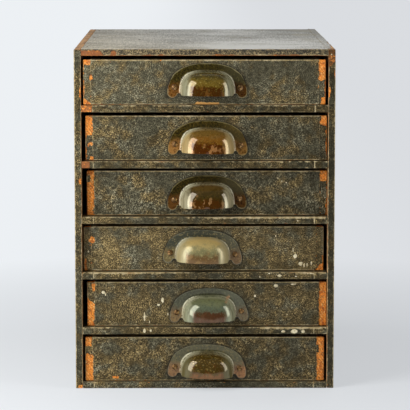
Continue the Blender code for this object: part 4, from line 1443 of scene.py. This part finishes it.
def pale_floor():
    """A pale floor that glows as the background does where it is seen far from the cabinet, and keeps the
    cabinet's shadow near it. Its glow is made darker towards the right as painted shade."""
    finish, tree, shader = new_finish("pale floor")
    where = add_node(tree, "ShaderNodeTexCoord", {}, "Object")
    # Painted shade: the glow is darker towards the right, for light that falls from the left.
    pale = blend_colours(step_between(one_axis(where, "X"), -0.35, 0.45), PALE_LEFT, PALE_RIGHT_SHADED)
    glow = add_node(tree, "ShaderNodeEmission", {"Color": pale, "Strength": 1.0})
    feed(shader, {"Base Color": FLOOR_COLOUR, "Roughness": 0.9, "Specular IOR Level": 0.1})
    far = add_node(tree, "ShaderNodeVectorMath", {0: where}, "Value", operation="LENGTH")
    rays = ("Is Camera Ray", "Is Glossy Ray", "Is Transmission Ray")
    seen = larger_of(*(add_node(tree, "ShaderNodeLightPath", {}, ray) for ray in rays))
    share = product_of(seen, ranged(far, 0.25, 0.70, 0.62, 1.0))
    mixed = add_node(tree, "ShaderNodeMixShader", {0: share, 1: shader.outputs[0], 2: glow})
    feed(tree.nodes["Material Output"], {"Surface": mixed})
    return finish


bm = bmesh.new()
bmesh.ops.create_grid(bm, x_segments=8, y_segments=8, size=FLOOR_HALF)
bmesh.ops.translate(bm, vec=(0, FLOOR_HALF + FLOOR_FRONT_Y, 0), verts=bm.verts)
floor = add_object("floor", mesh_of("floor", bm))
floor.location.z = -FLOOR_DROP
floor.data.materials.append(pale_floor())


def soft_lamp(name, place, width, power, lean):
    """A tall soft lamp aimed at the front, turned about its aim by a few degrees."""
    data = bpy.data.lights.new(name, "AREA")
    data.shape = "RECTANGLE"
    data.size = width
    data.size_y = LAMP_HEIGHT
    data.energy = power
    lamp = add_object(name, data)
    lamp.location = place
    aim = (Vector(LAMP_AIM) - Vector(place)).to_track_quat("-Z", "Y").to_matrix()
    lamp.rotation_euler = (aim @ Matrix.Rotation(math.radians(lean), 3, "Z")).to_euler()
    lamp.visible_camera = False


for name, (place, width, power, lean) in LAMPS.items():
    soft_lamp(name, place, width, power, lean)

world = bpy.data.worlds.new("pale room")
bpy.context.scene.world = world
world.use_nodes = True
room = world.node_tree
direction = add_node(room, "ShaderNodeTexCoord", {}, "Generated")
facing = one_axis(direction, "Y")
sides = blend_colours(step_between(one_axis(direction, "X"), -0.7, 0.7), ROOM_LEFT, ROOM_RIGHT)
tone = blend_colours(step_between(facing, -0.9, 0.0), ROOM_BEHIND, sides)
tone = blend_colours(step_between(one_axis(direction, "Z"), 0.2, 0.8), tone, ROOM_ABOVE)
tone = blend_colours(step_between(facing, 0.0, 0.7), tone, PALE_LEFT)
camera_ray = add_node(room, "ShaderNodeLightPath", {}, "Is Camera Ray")
tone = blend_colours(camera_ray, tone, PALE_LEFT)
feed(room.nodes["Background"], {"Color": tone})

camera_data = bpy.data.cameras.new("camera")
camera_data.angle = 2 * math.atan(IMAGE_PIXELS / 2 / FOCAL_PIXELS)
camera_data.clip_end = 200
camera = add_object("camera", camera_data)
camera.location = CAMERA_PLACE
camera.rotation_euler = (math.pi / 2 - CAMERA_PITCH, 0, -CAMERA_YAW)
bpy.context.scene.camera = camera
bpy.context.scene.view_settings.view_transform = "Standard"

bpy.context.view_layer.update()
